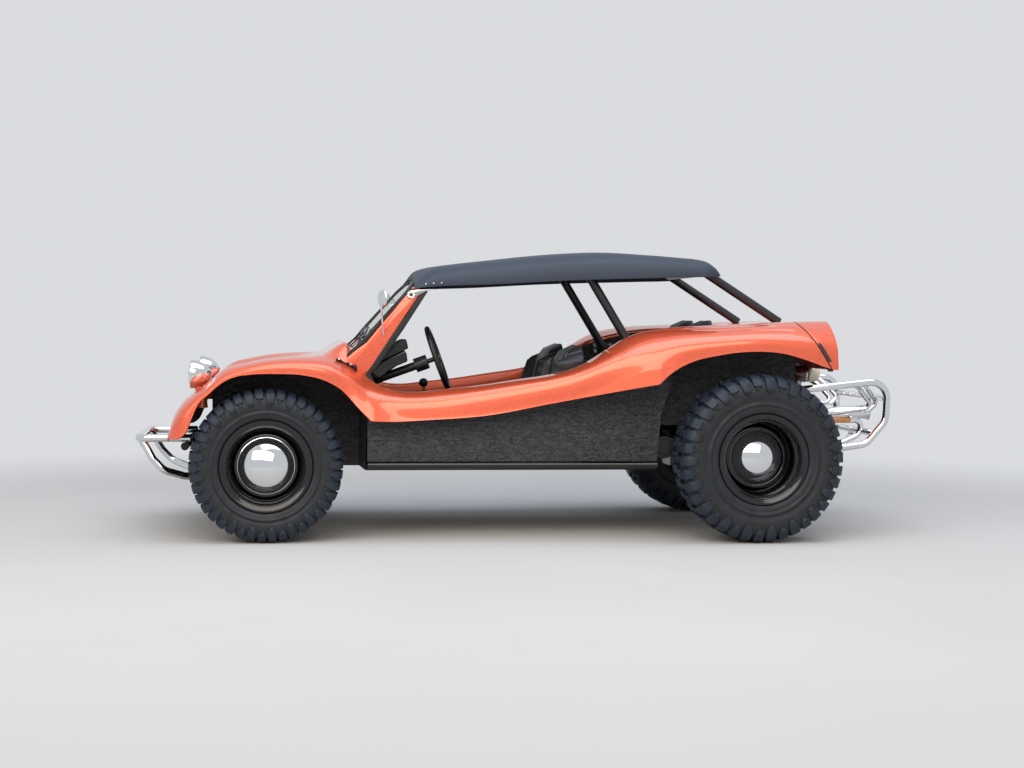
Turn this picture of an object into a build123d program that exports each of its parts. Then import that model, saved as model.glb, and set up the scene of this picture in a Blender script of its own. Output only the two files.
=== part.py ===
from build123d import *
import math
import os

# A four-seat dune buggy: glass-fibre tub body on a steel floor pan, rear engine.
# Lengths are millimetres. +Z is up, the front points to -X, the left side is -Y.
# Pieces are placed from the front axle line (x) and the ground (z), then moved so
# that the origin is at the middle of the whole buggy.

# Driving dimensions
WHEELBASE = 2400.0
REAR_AXLE_X = WHEELBASE
FRONT_REACH = 648.0      # front bumper, ahead of the front axle
REAR_REACH = 792.0       # rear bumper, behind the rear axle
FRONT_TYRE_R = 370.0
FRONT_TYRE_W = 262.0
FRONT_WHEEL_Y = 609.0    # wheel centre plane
REAR_TYRE_R = 411.0
REAR_TYRE_W = 300.0
REAR_WHEEL_Y = 737.0
RIM_SEAT_R = 203.0
RIM_FLANGE_R = 222.0
RIM_WALL = 7.0
FIT = 0.3                # seat clearance between pieces that touch
RUN = 6.0                # running clearance between pieces that move

# Floor pan
PAN_FRONT_X = 200.0
PAN_WIDE_X = 480.0
PAN_REAR_X = 1925.0
PAN_HALF = 585.0
PAN_NOSE_HALF = 280.0
PAN_Z = 340.0            # underside
PAN_T = 5.0
TUNNEL_HALF = 90.0
TUNNEL_H = 170.0

# Body shell
SHELL_T = 6.0
RIM_Y = PAN_HALF + 3.0   # cockpit rim, inner face
SIDE_T = 12.0            # black lower side
REAR_WALL_Y = 470.0      # rear tub, inner side wall
FRONT_END_X = 480.0      # front moulding meets the side pods
SIDE_END_X = 1660.0      # side pods meet the rear moulding

# Windscreen
SCREEN_FOOT = (405.0, 897.0)
SCREEN_RAKE = 48.5
SCREEN_LENGTH = 520.0
SCREEN_HALF = 565.0
SCREEN_BAR = 42.0
SCREEN_T = 24.0

# Roof and cage
CAGE_R = 22.0
HOOP_Y = 430.0
ROOF_HALF = 540.0
ROOF_T = 8.0

# Running gear
BEAM_X = -165.0
BEAM_Z = (300.0, 450.0)
BEAM_R = 25.0
BEAM_HALF = 340.0
CLAMP_X = -401.0         # cross tube that carries the front bumper
CLAMP_Z = 443.0
CLAMP_R = 20.0
BUMPER_Y = 350.0
BUMPER_Z = 483.0
LOOP_Z = REAR_TYRE_R + 45    # rear bumper's lower run, above the half shafts
SHOCK_X = -208.0
SHOCK_Y = 322.0
SHOCK_TOP = 590.0

# Steering
KINGPIN_Y = 500.0
STEER_ARM = 105.0        # tie rods lie this far ahead of the kingpins
STEERING_HUB = (848.0, -350.0, 886.0)
STEERING_BOX = (-40.0, -235.0, 560.0)
STEERING_WHEEL_R = 168.0

X_MID = (WHEELBASE + REAR_REACH - FRONT_REACH) / 2
os.makedirs("parts", exist_ok=True)


def save(name, shape):
    """Write one node, moved from the axle line to the middle of the buggy."""
    export_step(Pos(-X_MID, 0, 0) * shape, "parts/" + name + ".step")


def box(x0, x1, y0, y1, z0, z1):
    size = (x1 - x0, y1 - y0, z1 - z0)
    middle = ((x0 + x1) / 2, (y0 + y1) / 2, (z0 + z1) / 2)
    return Pos(*middle) * Box(*size)


def rod(start, end, radius):
    """A round bar between two points."""
    a = Vector(*start)
    b = Vector(*end)
    return Solid.make_cylinder(radius, (b - a).length, Plane(origin=a, z_dir=b - a))


def tube(points, radius, bends):
    """A round bar along straight runs with arcs at the corners."""
    path = FilletPolyline(*points, radius=bends)
    start = Vector(*points[0])
    section = Plane(origin=start, z_dir=Vector(*points[1]) - start) * Circle(radius)
    return sweep(section, path=path)


def side_plate(outline, y0, y1):
    """A plate with its outline in the XZ plane, between two Y values."""
    face = make_face(Polyline(*[(x, y0, z) for x, z in outline], close=True))
    return extrude(face, amount=y1 - y0, dir=(0, 1, 0))


def floor_plate(outline, z0, z1):
    """A plate with its outline in the XY plane, between two Z values."""
    face = make_face(Polyline(*[(x, y, z0) for x, y in outline], close=True))
    return extrude(face, amount=z1 - z0, dir=(0, 0, 1))


def turned(profile):
    """A solid of revolution about the wheel axis, from (y, radius) pairs."""
    face = make_face(Polyline(*[(0, y, r) for y, r in profile], close=True))
    return revolve(face, axis=Axis.Y, revolution_arc=360)


def both(shape):
    """A shape and its mirror image on the other side."""
    return [shape, mirror(shape, about=Plane.XZ)]


def compound(shapes):
    return Compound(children=[s for s in shapes])


# Body shell sections, half outline from the middle outwards, one row a station:
# x, then (y, z) of middle, valley, hood edge, crown, shoulder and lower edge. The hood
# flicks up just ahead of the windscreen.
FRONT_SECTIONS = [
    (-471, (0, 519), (335, 517), (500, 516), (530, 515), (640, 500), (700, 440)),
    (-443, (0, 612), (335, 606), (500, 603), (545, 603), (662, 562), (712, 440)),
    (-400, (0, 680), (335, 672), (500, 668), (561, 668), (688, 619), (730, 440)),
    (-300, (0, 757), (335, 746), (500, 746), (590, 752), (715, 704), (752, 440)),
    (-200, (0, 806), (335, 793), (500, 808), (595, 834), (727, 788), (770, 440)),
    (0, (0, 864), (335, 846), (500, 860), (600, 881), (740, 843), (782, 440)),
    (200, (0, 887), (335, 877), (500, 886), (605, 895), (740, 847), (778, 440)),
    (300, (0, 923), (335, 918), (500, 916), (600, 891), (728, 830), (766, 440)),
    (364, (0, 958), (335, 954), (500, 950), (596, 873), (713, 802), (756, 440)),
    (388, (0, 964), (335, 960), (500, 955), (593, 862), (707, 789), (752, 440)),
    (410, (0, 937), (335, 928), (500, 918), (592, 850), (703, 775), (749, 440)),
    (440, (0, 918), (335, 906), (500, 884), (590, 832), (697, 752), (746, 440)),
    (480, (0, 902), (335, 884), (500, 850), (RIM_Y, 800), (690, 724), (742, 440)),
]
# Side pods: x, then (y, z) of rim, shoulder and lower edge.
SIDE_SECTIONS = [
    (480, (RIM_Y, 800), (690, 724), (742, 440)),
    (524, (RIM_Y, 767), (687, 704), (741, 440)),
    (600, (RIM_Y, 738), (684, 691), (739, 440)),
    (705, (RIM_Y, 724), (682, 687), (738, 440)),
    (862, (RIM_Y, 739), (683, 698), (740, 440)),
    (1040, (RIM_Y, 759), (690, 724), (745, 440)),
    (1199, (RIM_Y, 784), (698, 750), (753, 440)),
    (1404, (RIM_Y, 817), (713, 786), (766, 440)),
    (1528, (RIM_Y, 856), (735, 824), (786, 440)),
    (1600, (RIM_Y, 894), (752, 854), (799, 440)),
    (1660, (RIM_Y, 932), (765, 880), (808, 440)),
]
# Rear moulding: x, then (y, z) of inner edge, rim, shoulder and lower edge.
REAR_SECTIONS = [
    (1660, (580, 932), (590, 932), (765, 880), (808, 440)),
    (1745, (484, 970), (598, 986), (786, 914), (826, 440)),
    (1835, (470, 996), (604, 1022), (799, 936), (840, 440)),
    (1936, (470, 1019), (610, 1041), (810, 951), (852, 440)),
    (2340, (470, 1050), (620, 1068), (825, 985), (872, 440)),
    (2600, (470, 1065), (620, 1080), (815, 975), (862, 440)),
    (2860, (470, 1075), (600, 1086), (780, 940), (835, 440)),
]


def inset(points, depth):
    """Half-outline points moved towards the inside by one depth."""
    moved = []
    for i, (y, z) in enumerate(points):
        before = points[max(i - 1, 0)]
        after = points[min(i + 1, len(points) - 1)]
        dy = after[0] - before[0]
        dz = after[1] - before[1]
        size = math.hypot(dy, dz)
        moved.append((y + depth * dz / size, z - depth * dy / size))
    if points[0][0] == 0:
        moved[0] = (0, points[0][1] - depth)
    return moved


def shell(rows, outer=0.0, inner=SHELL_T, side=1):
    """A ruled shell through half sections, between two depths under the skin."""
    faces = []
    for x, *points in rows:
        out = inset(points, outer)
        back = inset(points, inner)[::-1]
        ring = [(x, side * y, z) for y, z in out + back]
        faces.append(make_face(Polyline(*ring, close=True)))
    return loft(faces, ruled=True)


def body_mask():
    """The side silhouette: everything above the body's lower edge."""
    top = 1250.0
    edge = [
        Polyline((-520, 0, 515), (-380, 0, 530)),
        ThreePointArc((-380, 0, 530), (-283, 0, 718), (-120, 0, 803)),
        ThreePointArc((-120, 0, 803), (60, 0, 816), (220, 0, 803)),
        ThreePointArc((220, 0, 803), (352, 0, 738), (440, 0, 652)),
        ThreePointArc((440, 0, 652), (490, 0, 612), (560, 0, 598)),
        ThreePointArc((560, 0, 598), (1065, 0, 618), (1515, 0, 702)),
        Line((1515, 0, 702), (1880, 0, 772)),
        ThreePointArc((1880, 0, 772), (1985, 0, 853), (2110, 0, 900)),
        ThreePointArc((2110, 0, 900), (2340, 0, 934), (2560, 0, 912)),
        ThreePointArc((2560, 0, 912), (2660, 0, 882), (2765, 0, 846)),
        Polyline((2765, 0, 846), (3000, 0, 846), (3000, 0, top), (-520, 0, top), (-520, 0, 515)),
    ]
    face = make_face([e for run in edge for e in run.edges()])
    return extrude(face, amount=1000, dir=(0, 1, 0), both=True)


MASK = body_mask()
TAIL_TOP = (2600.0, 1090.0)   # seam between rear moulding and tail panel
TAIL_FOOT = (2768.0, 846.0)
TAIL_GAP = 6.0
TAIL_BACK = (2790.0, 2845.0)  # back face, x at the seam's top and foot heights


def seam_side(x_top, x_foot, behind):
    """A large block in front of or behind the slanted tail seam."""
    far = 4000.0 if behind else -1000.0
    slope = (x_foot - x_top) / (TAIL_TOP[1] - TAIL_FOOT[1])
    high = (x_top - 400 * slope, TAIL_TOP[1] + 400)
    low = (x_foot + 500 * slope, TAIL_FOOT[1] - 500)
    return side_plate([high, low, (far, low[1]), (far, high[1])], -1000, 1000)


DECK_SEAT_Z = 1056.0


def mirrored_shell(rows, outer=0.0, inner=SHELL_T):
    return shell(rows, outer, inner, 1) + shell(rows, outer, inner, -1)


def front_solid(depth):
    """The front moulding's form as a closed block, a depth under the skin."""
    faces = []
    for x, *points in FRONT_SECTIONS:
        line = inset(points, depth)
        ring = [(x, y, z) for y, z in line] + [(x, -y, z) for y, z in line[:0:-1]]
        faces.append(make_face(Polyline(*ring, close=True)))
    return loft(faces, ruled=True)


# Hood opening, in plan
HOOD_FRONT_X = -290.0
HOOD_REAR_X = 385.0
HOOD_HALF = 330.0
HOOD_GAP = 5.0
HOOD_LEDGE = 22.0
LEDGE_T = 4.0
HINGE_X = HOOD_FRONT_X - 14
HINGE_Z = 761.0
TONGUE_Z = (754.0, 759.0)
HINGE_PIN_R = 5.0
HINGE_EYE_R = 9.0
HINGE_Y = (180.0, 240.0)  # outer faces of the two ears
EAR_T = 15.0


def hinge_ears():
    """Two ears a side on the nose, joined by a pin on the hood's hinge axis."""
    y0, y1 = HINGE_Y
    pin = rod((HINGE_X, y0, HINGE_Z), (HINGE_X, y1, HINGE_Z), HINGE_PIN_R)
    for y in (y0, y1 - EAR_T):
        pin += rod((HINGE_X, y, HINGE_Z), (HINGE_X, y + EAR_T, HINGE_Z), HINGE_EYE_R)
        pin += box(HINGE_X - HINGE_EYE_R, HINGE_X + HINGE_EYE_R - 2, y, y + EAR_T, HINGE_Z - 20, HINGE_Z)
    return both(pin)


def hinge_eyes():
    """The lid's eye a side, between the ears, with its tongue onto the lid."""
    y0 = HINGE_Y[0] + EAR_T + 1
    y1 = HINGE_Y[1] - EAR_T - 1
    eye = rod((HINGE_X, y0, HINGE_Z), (HINGE_X, y1, HINGE_Z), HINGE_EYE_R)
    eye += box(HINGE_X, HOOD_FRONT_X + 10, y0, y1, TONGUE_Z[0], TONGUE_Z[1])
    return both(eye - rod((HINGE_X, y0 - 1, HINGE_Z), (HINGE_X, y1 + 1, HINGE_Z), HINGE_PIN_R + FIT))


def body_front():
    skin = mirrored_shell(FRONT_SECTIONS)
    ledge = mirrored_shell(FRONT_SECTIONS, SHELL_T - 1, SHELL_T + LEDGE_T)
    reach = HOOD_HALF + HOOD_LEDGE
    ledge &= box(HOOD_FRONT_X - HOOD_LEDGE, HOOD_REAR_X + HOOD_LEDGE, -reach, reach, 600, 1100)
    skin = (skin + ledge) & MASK
    pocket = mirrored_shell(FRONT_SECTIONS, -30, SHELL_T + FIT)
    half = HOOD_HALF + HOOD_GAP
    pocket &= box(HOOD_FRONT_X - HOOD_GAP, HOOD_REAR_X + HOOD_GAP, -half, half, 600, 1100)
    well = HOOD_HALF - HOOD_LEDGE
    hole = box(HOOD_FRONT_X + HOOD_LEDGE, HOOD_REAR_X - HOOD_LEDGE, -well, well, 600, 1100)
    skin = skin - pocket - hole
    for ear in hinge_ears():
        skin += ear
    return skin


def hood_lid():
    lid = mirrored_shell(FRONT_SECTIONS)
    lid &= box(HOOD_FRONT_X, HOOD_REAR_X, -HOOD_HALF, HOOD_HALF, 600, 1100)
    for eye in hinge_eyes():
        lid += eye
    return lid


def rear_solid(depth):
    """The rear moulding's outer form as a closed block, a depth under the skin."""
    faces = []
    for x, *points in REAR_SECTIONS:
        line = inset([(0, points[0][1] + 12)] + points, depth)
        ring = [(x, y, z) for y, z in line]
        ring += [(x, -y, z) for y, z in line[:0:-1]]
        faces.append(make_face(Polyline(*ring, close=True)))
    return loft(faces, ruled=True)


def body_rear():
    skin = mirrored_shell(REAR_SECTIONS)
    deck = rear_solid(0) - rear_solid(SHELL_T)
    joint = REAR_WALL_Y + 2 * SHELL_T
    deck &= box(REAR_OPEN_X, 3000, -joint, joint, 980, 1200)
    skin = (skin + deck) & MASK
    return skin & seam_side(TAIL_TOP[0], TAIL_FOOT[0], False)


def tail_panel():
    front_top = TAIL_TOP[0] + TAIL_GAP
    front_foot = TAIL_FOOT[0] + TAIL_GAP
    cup = rear_solid(0) & seam_side(front_top, front_foot, True)
    cup &= seam_side(TAIL_BACK[0], TAIL_BACK[1], False)
    hollow = rear_solid(SHELL_T + 1) & seam_side(front_top - 50, front_foot - 50, True)
    hollow &= seam_side(TAIL_BACK[0] - SHELL_T, TAIL_BACK[1] - SHELL_T, False)
    flange = rear_solid(SHELL_T + FIT) - rear_solid(SHELL_T + LEDGE_T)
    flange &= seam_side(front_top - 22, front_foot - 22, True)
    flange &= seam_side(front_top + 20, front_foot + 20, False)
    panel = (cup - hollow + flange) & box(2000, 4000, -1000, 1000, TAIL_FOOT[1], 2000)
    return panel - lamp_slot(0)


def lamp_slot(shrink):
    """The two slots behind the seam that hold the tail lamps."""
    low = TAIL_FOOT[1] + 30 + shrink
    high = TAIL_TOP[1] - 95 - shrink
    slot = seam_side(TAIL_TOP[0] + TAIL_GAP + 8 + shrink, TAIL_FOOT[0] + TAIL_GAP + 8 + shrink, True)
    slot &= seam_side(TAIL_TOP[0] + TAIL_GAP + 34 - shrink, TAIL_FOOT[0] + TAIL_GAP + 34 - shrink, False)
    sides = box(2000, 4000, -1000, -640, low, high) + box(2000, 4000, 640, 1000, low, high)
    return slot & sides


REAR_OPEN_X = 2360.0

save("body_front", body_front())
save("hood_lid", hood_lid())
save("body_rear", body_rear())
save("tail_panel", tail_panel())
for name, side in (("left", -1), ("right", 1)):
    save("body_side_" + name, shell(SIDE_SECTIONS, side=side) & MASK)

# Floor pan, tunnel, sills and inner walls
TUNNEL_T = 4.0
TUNNEL_FRONT_X = -20.0
PAN_TOP = PAN_Z + PAN_T
SILL_R = 18.0
SILL_Z = PAN_Z + 26.0
WALL_T = 5.0
TORSION_X = REAR_AXLE_X - 432
TORSION_Z = 450.0
TORSION_R = 42.0
TORSION_HALF = REAR_WHEEL_Y - REAR_TYRE_W / 2 - 2 * RUN
RISER_X = 1660.0
TUB_FLOOR_Z = 560.0
TUB_REAR_X = REAR_AXLE_X - 70


def floor_pan():
    plan = [(PAN_FRONT_X, -PAN_NOSE_HALF), (PAN_WIDE_X - 20, -PAN_NOSE_HALF), (PAN_WIDE_X, -PAN_HALF),
            (PAN_REAR_X, -PAN_HALF), (PAN_REAR_X, PAN_HALF), (PAN_WIDE_X, PAN_HALF),
            (PAN_WIDE_X - 20, PAN_NOSE_HALF), (PAN_FRONT_X, PAN_NOSE_HALF)]
    sheet = floor_plate(plan, PAN_Z, PAN_TOP)
    sheet -= box(PAN_FRONT_X - 1, RISER_X, -TUNNEL_HALF, TUNNEL_HALF, PAN_Z - 1, PAN_TOP + 1)
    top = PAN_Z + TUNNEL_H
    tunnel = box(TUNNEL_FRONT_X, TORSION_X - TORSION_R - FIT, -TUNNEL_HALF, TUNNEL_HALF, PAN_Z, top)
    tunnel = fillet(tunnel.edges().filter_by(Axis.X).group_by(Axis.Z)[-1], 40)
    inner = box(PAN_FRONT_X, RISER_X, -TUNNEL_HALF + TUNNEL_T, TUNNEL_HALF - TUNNEL_T, PAN_Z - 1, top - 40)
    return sheet + (tunnel - inner)


def sill_tubes():
    return compound(both(rod((PAN_WIDE_X + 10, PAN_HALF + FIT + SILL_R, SILL_Z),
                             (PAN_REAR_X, PAN_HALF + FIT + SILL_R, SILL_Z), SILL_R)))


def side_panel(side):
    low = SILL_Z + SILL_R + FIT
    outline = [(PAN_WIDE_X + 8, low), (PAN_REAR_X, low), (1943, 620), (2000, 780), (1800, 900), (1660, 880),
               (1530, 830), (1400, 790), (1040, 734), (862, 712), (705, 698), (600, 712), (524, 738),
               (PAN_WIDE_X + 8, 764)]
    y0 = RIM_Y + FIT + SHELL_T
    plate = side_plate(outline, y0, y0 + SIDE_T)
    return plate if side > 0 else mirror(plate, about=Plane.XZ)


def front_bulkhead():
    """Toe board and footwell walls, open to the cabin behind."""
    top = 800.0
    outer = [(PAN_FRONT_X, -PAN_NOSE_HALF), (PAN_WIDE_X - 20, -PAN_NOSE_HALF), (PAN_WIDE_X, -PAN_HALF),
             (PAN_WIDE_X, PAN_HALF), (PAN_WIDE_X - 20, PAN_NOSE_HALF), (PAN_FRONT_X, PAN_NOSE_HALF)]
    block = floor_plate(outer, PAN_TOP, top)
    room = [(PAN_FRONT_X + WALL_T, -PAN_NOSE_HALF + WALL_T), (PAN_WIDE_X - 15, -PAN_NOSE_HALF + WALL_T),
            (PAN_WIDE_X + 5, -PAN_HALF - 10), (PAN_WIDE_X + 5, PAN_HALF + 10),
            (PAN_WIDE_X - 15, PAN_NOSE_HALF - WALL_T), (PAN_FRONT_X + WALL_T, PAN_NOSE_HALF - WALL_T)]
    block -= floor_plate(room, PAN_TOP - 1, top - WALL_T)
    block -= box(0, 2000, -TUNNEL_HALF - FIT, TUNNEL_HALF + FIT, 0, PAN_Z + TUNNEL_H + FIT)
    return block - rod(STEERING_BOX, STEERING_HUB, 24)


def rear_tub():
    """Rear seat platform: riser, floor, side walls and back wall."""
    y = REAR_WALL_Y - FIT
    block = box(RISER_X, TUB_REAR_X, -y, y, TUB_FLOOR_Z - WALL_T, 1030)
    block -= box(RISER_X - 1, TUB_REAR_X - WALL_T, -y + WALL_T, y - WALL_T, TUB_FLOOR_Z, 1100)
    slope = side_plate([(RISER_X - 5, 900), (1760, 952), (1940, 1000), (TUB_REAR_X + 70, 1025),
                        (TUB_REAR_X + 70, 1200), (1600, 1200)],
                       -600, 600)
    riser = box(RISER_X, RISER_X + WALL_T, -PAN_HALF + FIT, PAN_HALF - FIT, PAN_TOP, 890)
    riser -= box(RISER_X - 1, RISER_X + 10, -y + WALL_T, y - WALL_T, TUB_FLOOR_Z, 1000)
    riser -= box(RISER_X - 1, RISER_X + 10, -TUNNEL_HALF - FIT, TUNNEL_HALF + FIT, 0, PAN_Z + TUNNEL_H + FIT)
    return block - slope + riser


def fascia(grow):
    x0 = PAN_WIDE_X + FIT
    outline = [(x0 - grow, 700 - grow), (x0 + 60 + grow, 690 - grow), (x0 + 75 + grow, 700),
               (x0 + 20 + grow, 815 + grow), (x0 - grow, 825 + grow)]
    return side_plate(outline, -RIM_Y + SHELL_T, RIM_Y - SHELL_T)


def dashboard():
    """Flat fascia across the cabin under the cowl."""
    block = fascia(0)
    return block - rod(STEERING_BOX, STEERING_HUB, 24)


# Windscreen, in its own raked plane
RAKE = math.radians(SCREEN_RAKE)
SCREEN_PLANE = Plane(origin=(SCREEN_FOOT[0], 0, SCREEN_FOOT[1]), x_dir=(0, 1, 0),
                     z_dir=(math.sin(RAKE), 0, -math.cos(RAKE)))
GLASS_T = 6.0
CHEEK_DEPTH = 90.0
SCREEN_FOOT_SPARE = 52.0
CHEEK_OUTLINE = [(380, 846), (420, 800), (498, 800), (742, 1190), (800, 1330), (600, 1330)]


def screen_face(inset_by, spare=0.0):
    """Screen outline: an arched foot, leaning sides and a straight top."""
    half = SCREEN_HALF - inset_by
    half_top = ROOF_HALF - ROOF_T - 8 - inset_by
    foot = inset_by - spare
    top = SCREEN_LENGTH - inset_by + spare
    rise = 62.0
    shape = [ThreePointArc((-half, foot), (0, foot + rise), (half, foot)),
             Polyline((half, foot), (half_top, top), (-half_top, top), (-half, foot))]
    return make_face([e for run in shape for e in run.edges()])


def windscreen_frame():
    """The frame's foot follows the cowl and its top follows the roof."""
    ring = screen_face(0, SCREEN_FOOT_SPARE) - screen_face(SCREEN_BAR)
    frame = extrude(SCREEN_PLANE * ring, amount=SCREEN_T / 2, both=True)
    bars = screen_face(0, SCREEN_FOOT_SPARE) - screen_face(SCREEN_BAR * 0.7, SCREEN_BAR * 2)
    cheeks = extrude(SCREEN_PLANE * bars, amount=CHEEK_DEPTH, dir=SCREEN_PLANE.z_dir)
    frame += cheeks & side_plate(CHEEK_OUTLINE, -700, 700)
    frame = frame - front_solid(-FIT) - above_roof()
    return frame.solids().sort_by(SortBy.VOLUME)[-1]


def above_roof():
    """What lies above the roof's inner face, with a seat clearance."""
    return box(500, ROOF_SECTIONS[-1][0], -700, 700, 1200, 1600) - roof_solid(ROOF_T + FIT, 130)


def windscreen_glass():
    pane = screen_face(SCREEN_BAR + FIT)
    return extrude(SCREEN_PLANE * pane, amount=GLASS_T / 2, both=True)


# Roof: x, edge height, top height
ROOF_SECTIONS = [
    (690, 1232, 1292),
    (720, 1236, 1314),
    (773, 1239, 1336),
    (850, 1242, 1352),
    (1100, 1252, 1384),
    (1480, 1278, 1424),
    (1720, 1288, 1434),
    (1900, 1293, 1425),
    (2080, 1299, 1412),
    (2205, 1303, 1398),
    (2240, 1302, 1374),
    (2262, 1296, 1338),
]
ROOF_SHOULDER = 62.0


def roof_solid(depth, drop=0.0):
    """The roof's form as a closed block, a depth under its skin."""
    faces = []
    for x, edge, top in ROOF_SECTIONS:
        half = ROOF_HALF - depth
        crown = edge + (top - edge) * 0.62 - depth * 0.6
        line = [(half, edge - drop), (half - 6, crown - 20), (half - ROOF_SHOULDER, crown + 20),
                (half * 0.45, top - 8 - depth), (0, top - depth)]
        line += [(-y, z) for y, z in line[-2::-1]]
        faces.append(make_face(Polyline(*[(x, y, z) for y, z in line], close=True)))
    return loft(faces, ruled=True)


def roof():
    return roof_solid(0) - roof_solid(ROOF_T, 20)


def roll_cage():
    """Main hoop behind the front seats and two rear stays, with bolted feet."""
    lean = (1786 - 1621) / (1273 - 1004)
    z_top = 1348.0
    x_top = 1621 - (z_top - 1273) * lean
    foot_z = 930.0
    foot_x = 1621 + (1273 - foot_z) * lean
    hoop = tube([(foot_x, -HOOP_Y, foot_z), (x_top, -HOOP_Y, z_top), (x_top, HOOP_Y, z_top),
                 (foot_x, HOOP_Y, foot_z)], CAGE_R, 80)
    y = HOOP_Y - 10
    stay_top = (2196, y, 1330)
    stay_foot = (2566, y, 1094)
    stay = rod(stay_top, stay_foot, CAGE_R)
    block = box(foot_x - 62, foot_x + 62, HOOP_Y, REAR_WALL_Y - 2 * FIT - WALL_T, foot_z - 34, foot_z + 34)
    deck_foot = box(stay_foot[0] - 60, stay_foot[0] + 60, y - 40, y + 30, DECK_SEAT_Z, DECK_SEAT_Z + 8)
    cross = rod((stay_top[0], -y, stay_top[2]), (stay_top[0], y, stay_top[2]), CAGE_R)
    post = box(stay_top[0] - 20, stay_top[0] + 20, 180, 210, stay_top[2], 1450)
    post += box(x_top - 20, x_top + 20, 180, 210, z_top, 1450)
    total = hoop + cross
    for piece in (stay + deck_foot - rear_solid(-FIT), block, post):
        for half in both(piece):
            total += half
    return total - above_roof()


save("floor_pan", floor_pan())
save("sill_tubes", sill_tubes())
save("front_bulkhead", front_bulkhead())
save("rear_tub", rear_tub())
save("dashboard", dashboard())
save("windscreen_frame", windscreen_frame())
save("windscreen_glass", windscreen_glass())
save("roof", roof())
save("roll_cage", roll_cage())
for name, side in (("left", -1), ("right", 1)):
    save("side_panel_" + name, side_panel(side))

# Wheels, in their own frame: y = 0 at the centre plane, outside is +y, z is the radius
HUB_FACE_Y = 38.0        # front wheels' mounting face, outside the centre plane
REAR_HUB_FACE_Y = -28.0
CAP_R = 137.0
CAP_DEPTH = 68.0
HUB_BORE_R = 16.0
DRUM_R = 124.0
FRONT_LUGS = 21
REAR_LUGS = 19


LUG_SHARE = 0.6           # of a pitch that is lug, the rest is gap
LUG_DEPTH = 24.0
BORE_SIDES = 24
SIDE_FLAT_R = 262.0       # the side wall's flat ring starts here


def lug_section(y, tip, floor, count, phase):
    """The tyre's outline across its axis: lug tips and gap floors in turn."""
    pitch = 2 * math.pi / count
    ring = []
    for i in range(count):
        start = pitch * (i + phase) - math.pi / 2
        end = start + pitch * LUG_SHARE
        for angle, r in ((start, floor), (start, tip), (end, tip), (end, floor)):
            ring.append((r * math.cos(angle), y, r * math.sin(angle)))
    return make_face(Polyline(*ring, close=True))


def ring_section(y, radius):
    """A regular polygon about the axis whose flats lie at the radius."""
    corner = radius / math.cos(math.pi / BORE_SIDES)
    turns = [2 * math.pi * i / BORE_SIDES for i in range(BORE_SIDES)]
    return make_face(Polyline(*[(corner * math.cos(a), y, corner * math.sin(a)) for a in turns], close=True))


def tyre(radius, width, lugs):
    """Mud tyre: two rows of staggered lugs that run down over the shoulders."""
    half = width / 2
    # y, lug tip and gap floor radius
    rows = [(0, radius, radius - LUG_DEPTH), (half - 30, radius - 4, radius - LUG_DEPTH - 4),
            (half, radius - 58, radius - 61)]
    total = None
    for side, phase in ((1, 0), (-1, 0.5)):
        row = loft([lug_section(side * y, tip, floor, lugs, phase) for y, tip, floor in rows], ruled=True)
        total = row if total is None else total + row
    bead = bead_half(width) - FIT
    total -= loft([ring_section(-half - 1, RIM_SEAT_R + FIT), ring_section(half + 1, RIM_SEAT_R + FIT)], ruled=True)
    for side in (1, -1):
        total -= loft([ring_section(side * bead, RIM_FLANGE_R + 2), ring_section(side * half, SIDE_FLAT_R)],
                      ruled=True)
    return total


def bead_half(width):
    """Half the rim's inside width between the flanges."""
    return width / 2 - 23


def wheel(width, face_y):
    """Pressed steel wheel: barrel with flanges and drop centre, dished disc, brake drum."""
    side = bead_half(width)
    seat = RIM_SEAT_R
    drop = seat - 20
    wall = RIM_WALL
    outer = [(side + wall, RIM_FLANGE_R), (side, RIM_FLANGE_R), (side, seat), (side - 45, seat), (side - 60, drop),
             (-side + 60, drop), (-side + 45, seat), (-side, seat), (-side, RIM_FLANGE_R), (-side - wall, RIM_FLANGE_R)]
    inner = [(-side - wall, seat - wall), (-side + 42, seat - wall), (-side + 57, drop - wall),
             (side - 57, drop - wall), (side - 42, seat - wall), (side + wall, seat - wall)]
    barrel = turned(outer + inner)
    disc = turned([(face_y, HUB_BORE_R + FIT), (face_y, 105), (face_y + 16, 128), (face_y + 16, 150),
                   (face_y - 8, 172), (face_y - 8, drop - wall + 1), (face_y - 16, drop - wall + 1),
                   (face_y - 16, 170), (face_y + 8, 146), (face_y + 8, 132), (face_y - 8, 108),
                   (face_y - 8, HUB_BORE_R + FIT)])
    drum = turned([(face_y - 7, HUB_BORE_R + FIT), (face_y - 7, DRUM_R - 24), (face_y - 16, DRUM_R),
                   (face_y - 62, DRUM_R), (face_y - 62, DRUM_R - 8), (face_y - 22, DRUM_R - 8),
                   (face_y - 22, 40), (face_y - 50, 40), (face_y - 50, HUB_BORE_R + FIT)])
    return barrel + disc + drum


def hub_cap(face_y):
    """Domed cap clipped over the disc's raised ring."""
    foot = face_y + 16 + FIT
    steps = 6
    outer = []
    for i in range(steps + 1):
        angle = math.radians(90.0 * i / steps)
        outer.append((foot + 8 + CAP_DEPTH * math.sin(angle), CAP_R * math.cos(angle)))
    outer[-1] = (outer[-1][0], 0)
    ring = [(foot, 0), (foot, CAP_R + 2), (foot + 8, CAP_R + 2)] + outer
    return turned(ring)


def place_wheel(shape, x, y, radius):
    turned_side = shape if y > 0 else mirror(shape, about=Plane.XZ)
    return Pos(x, y, radius) * turned_side


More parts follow.
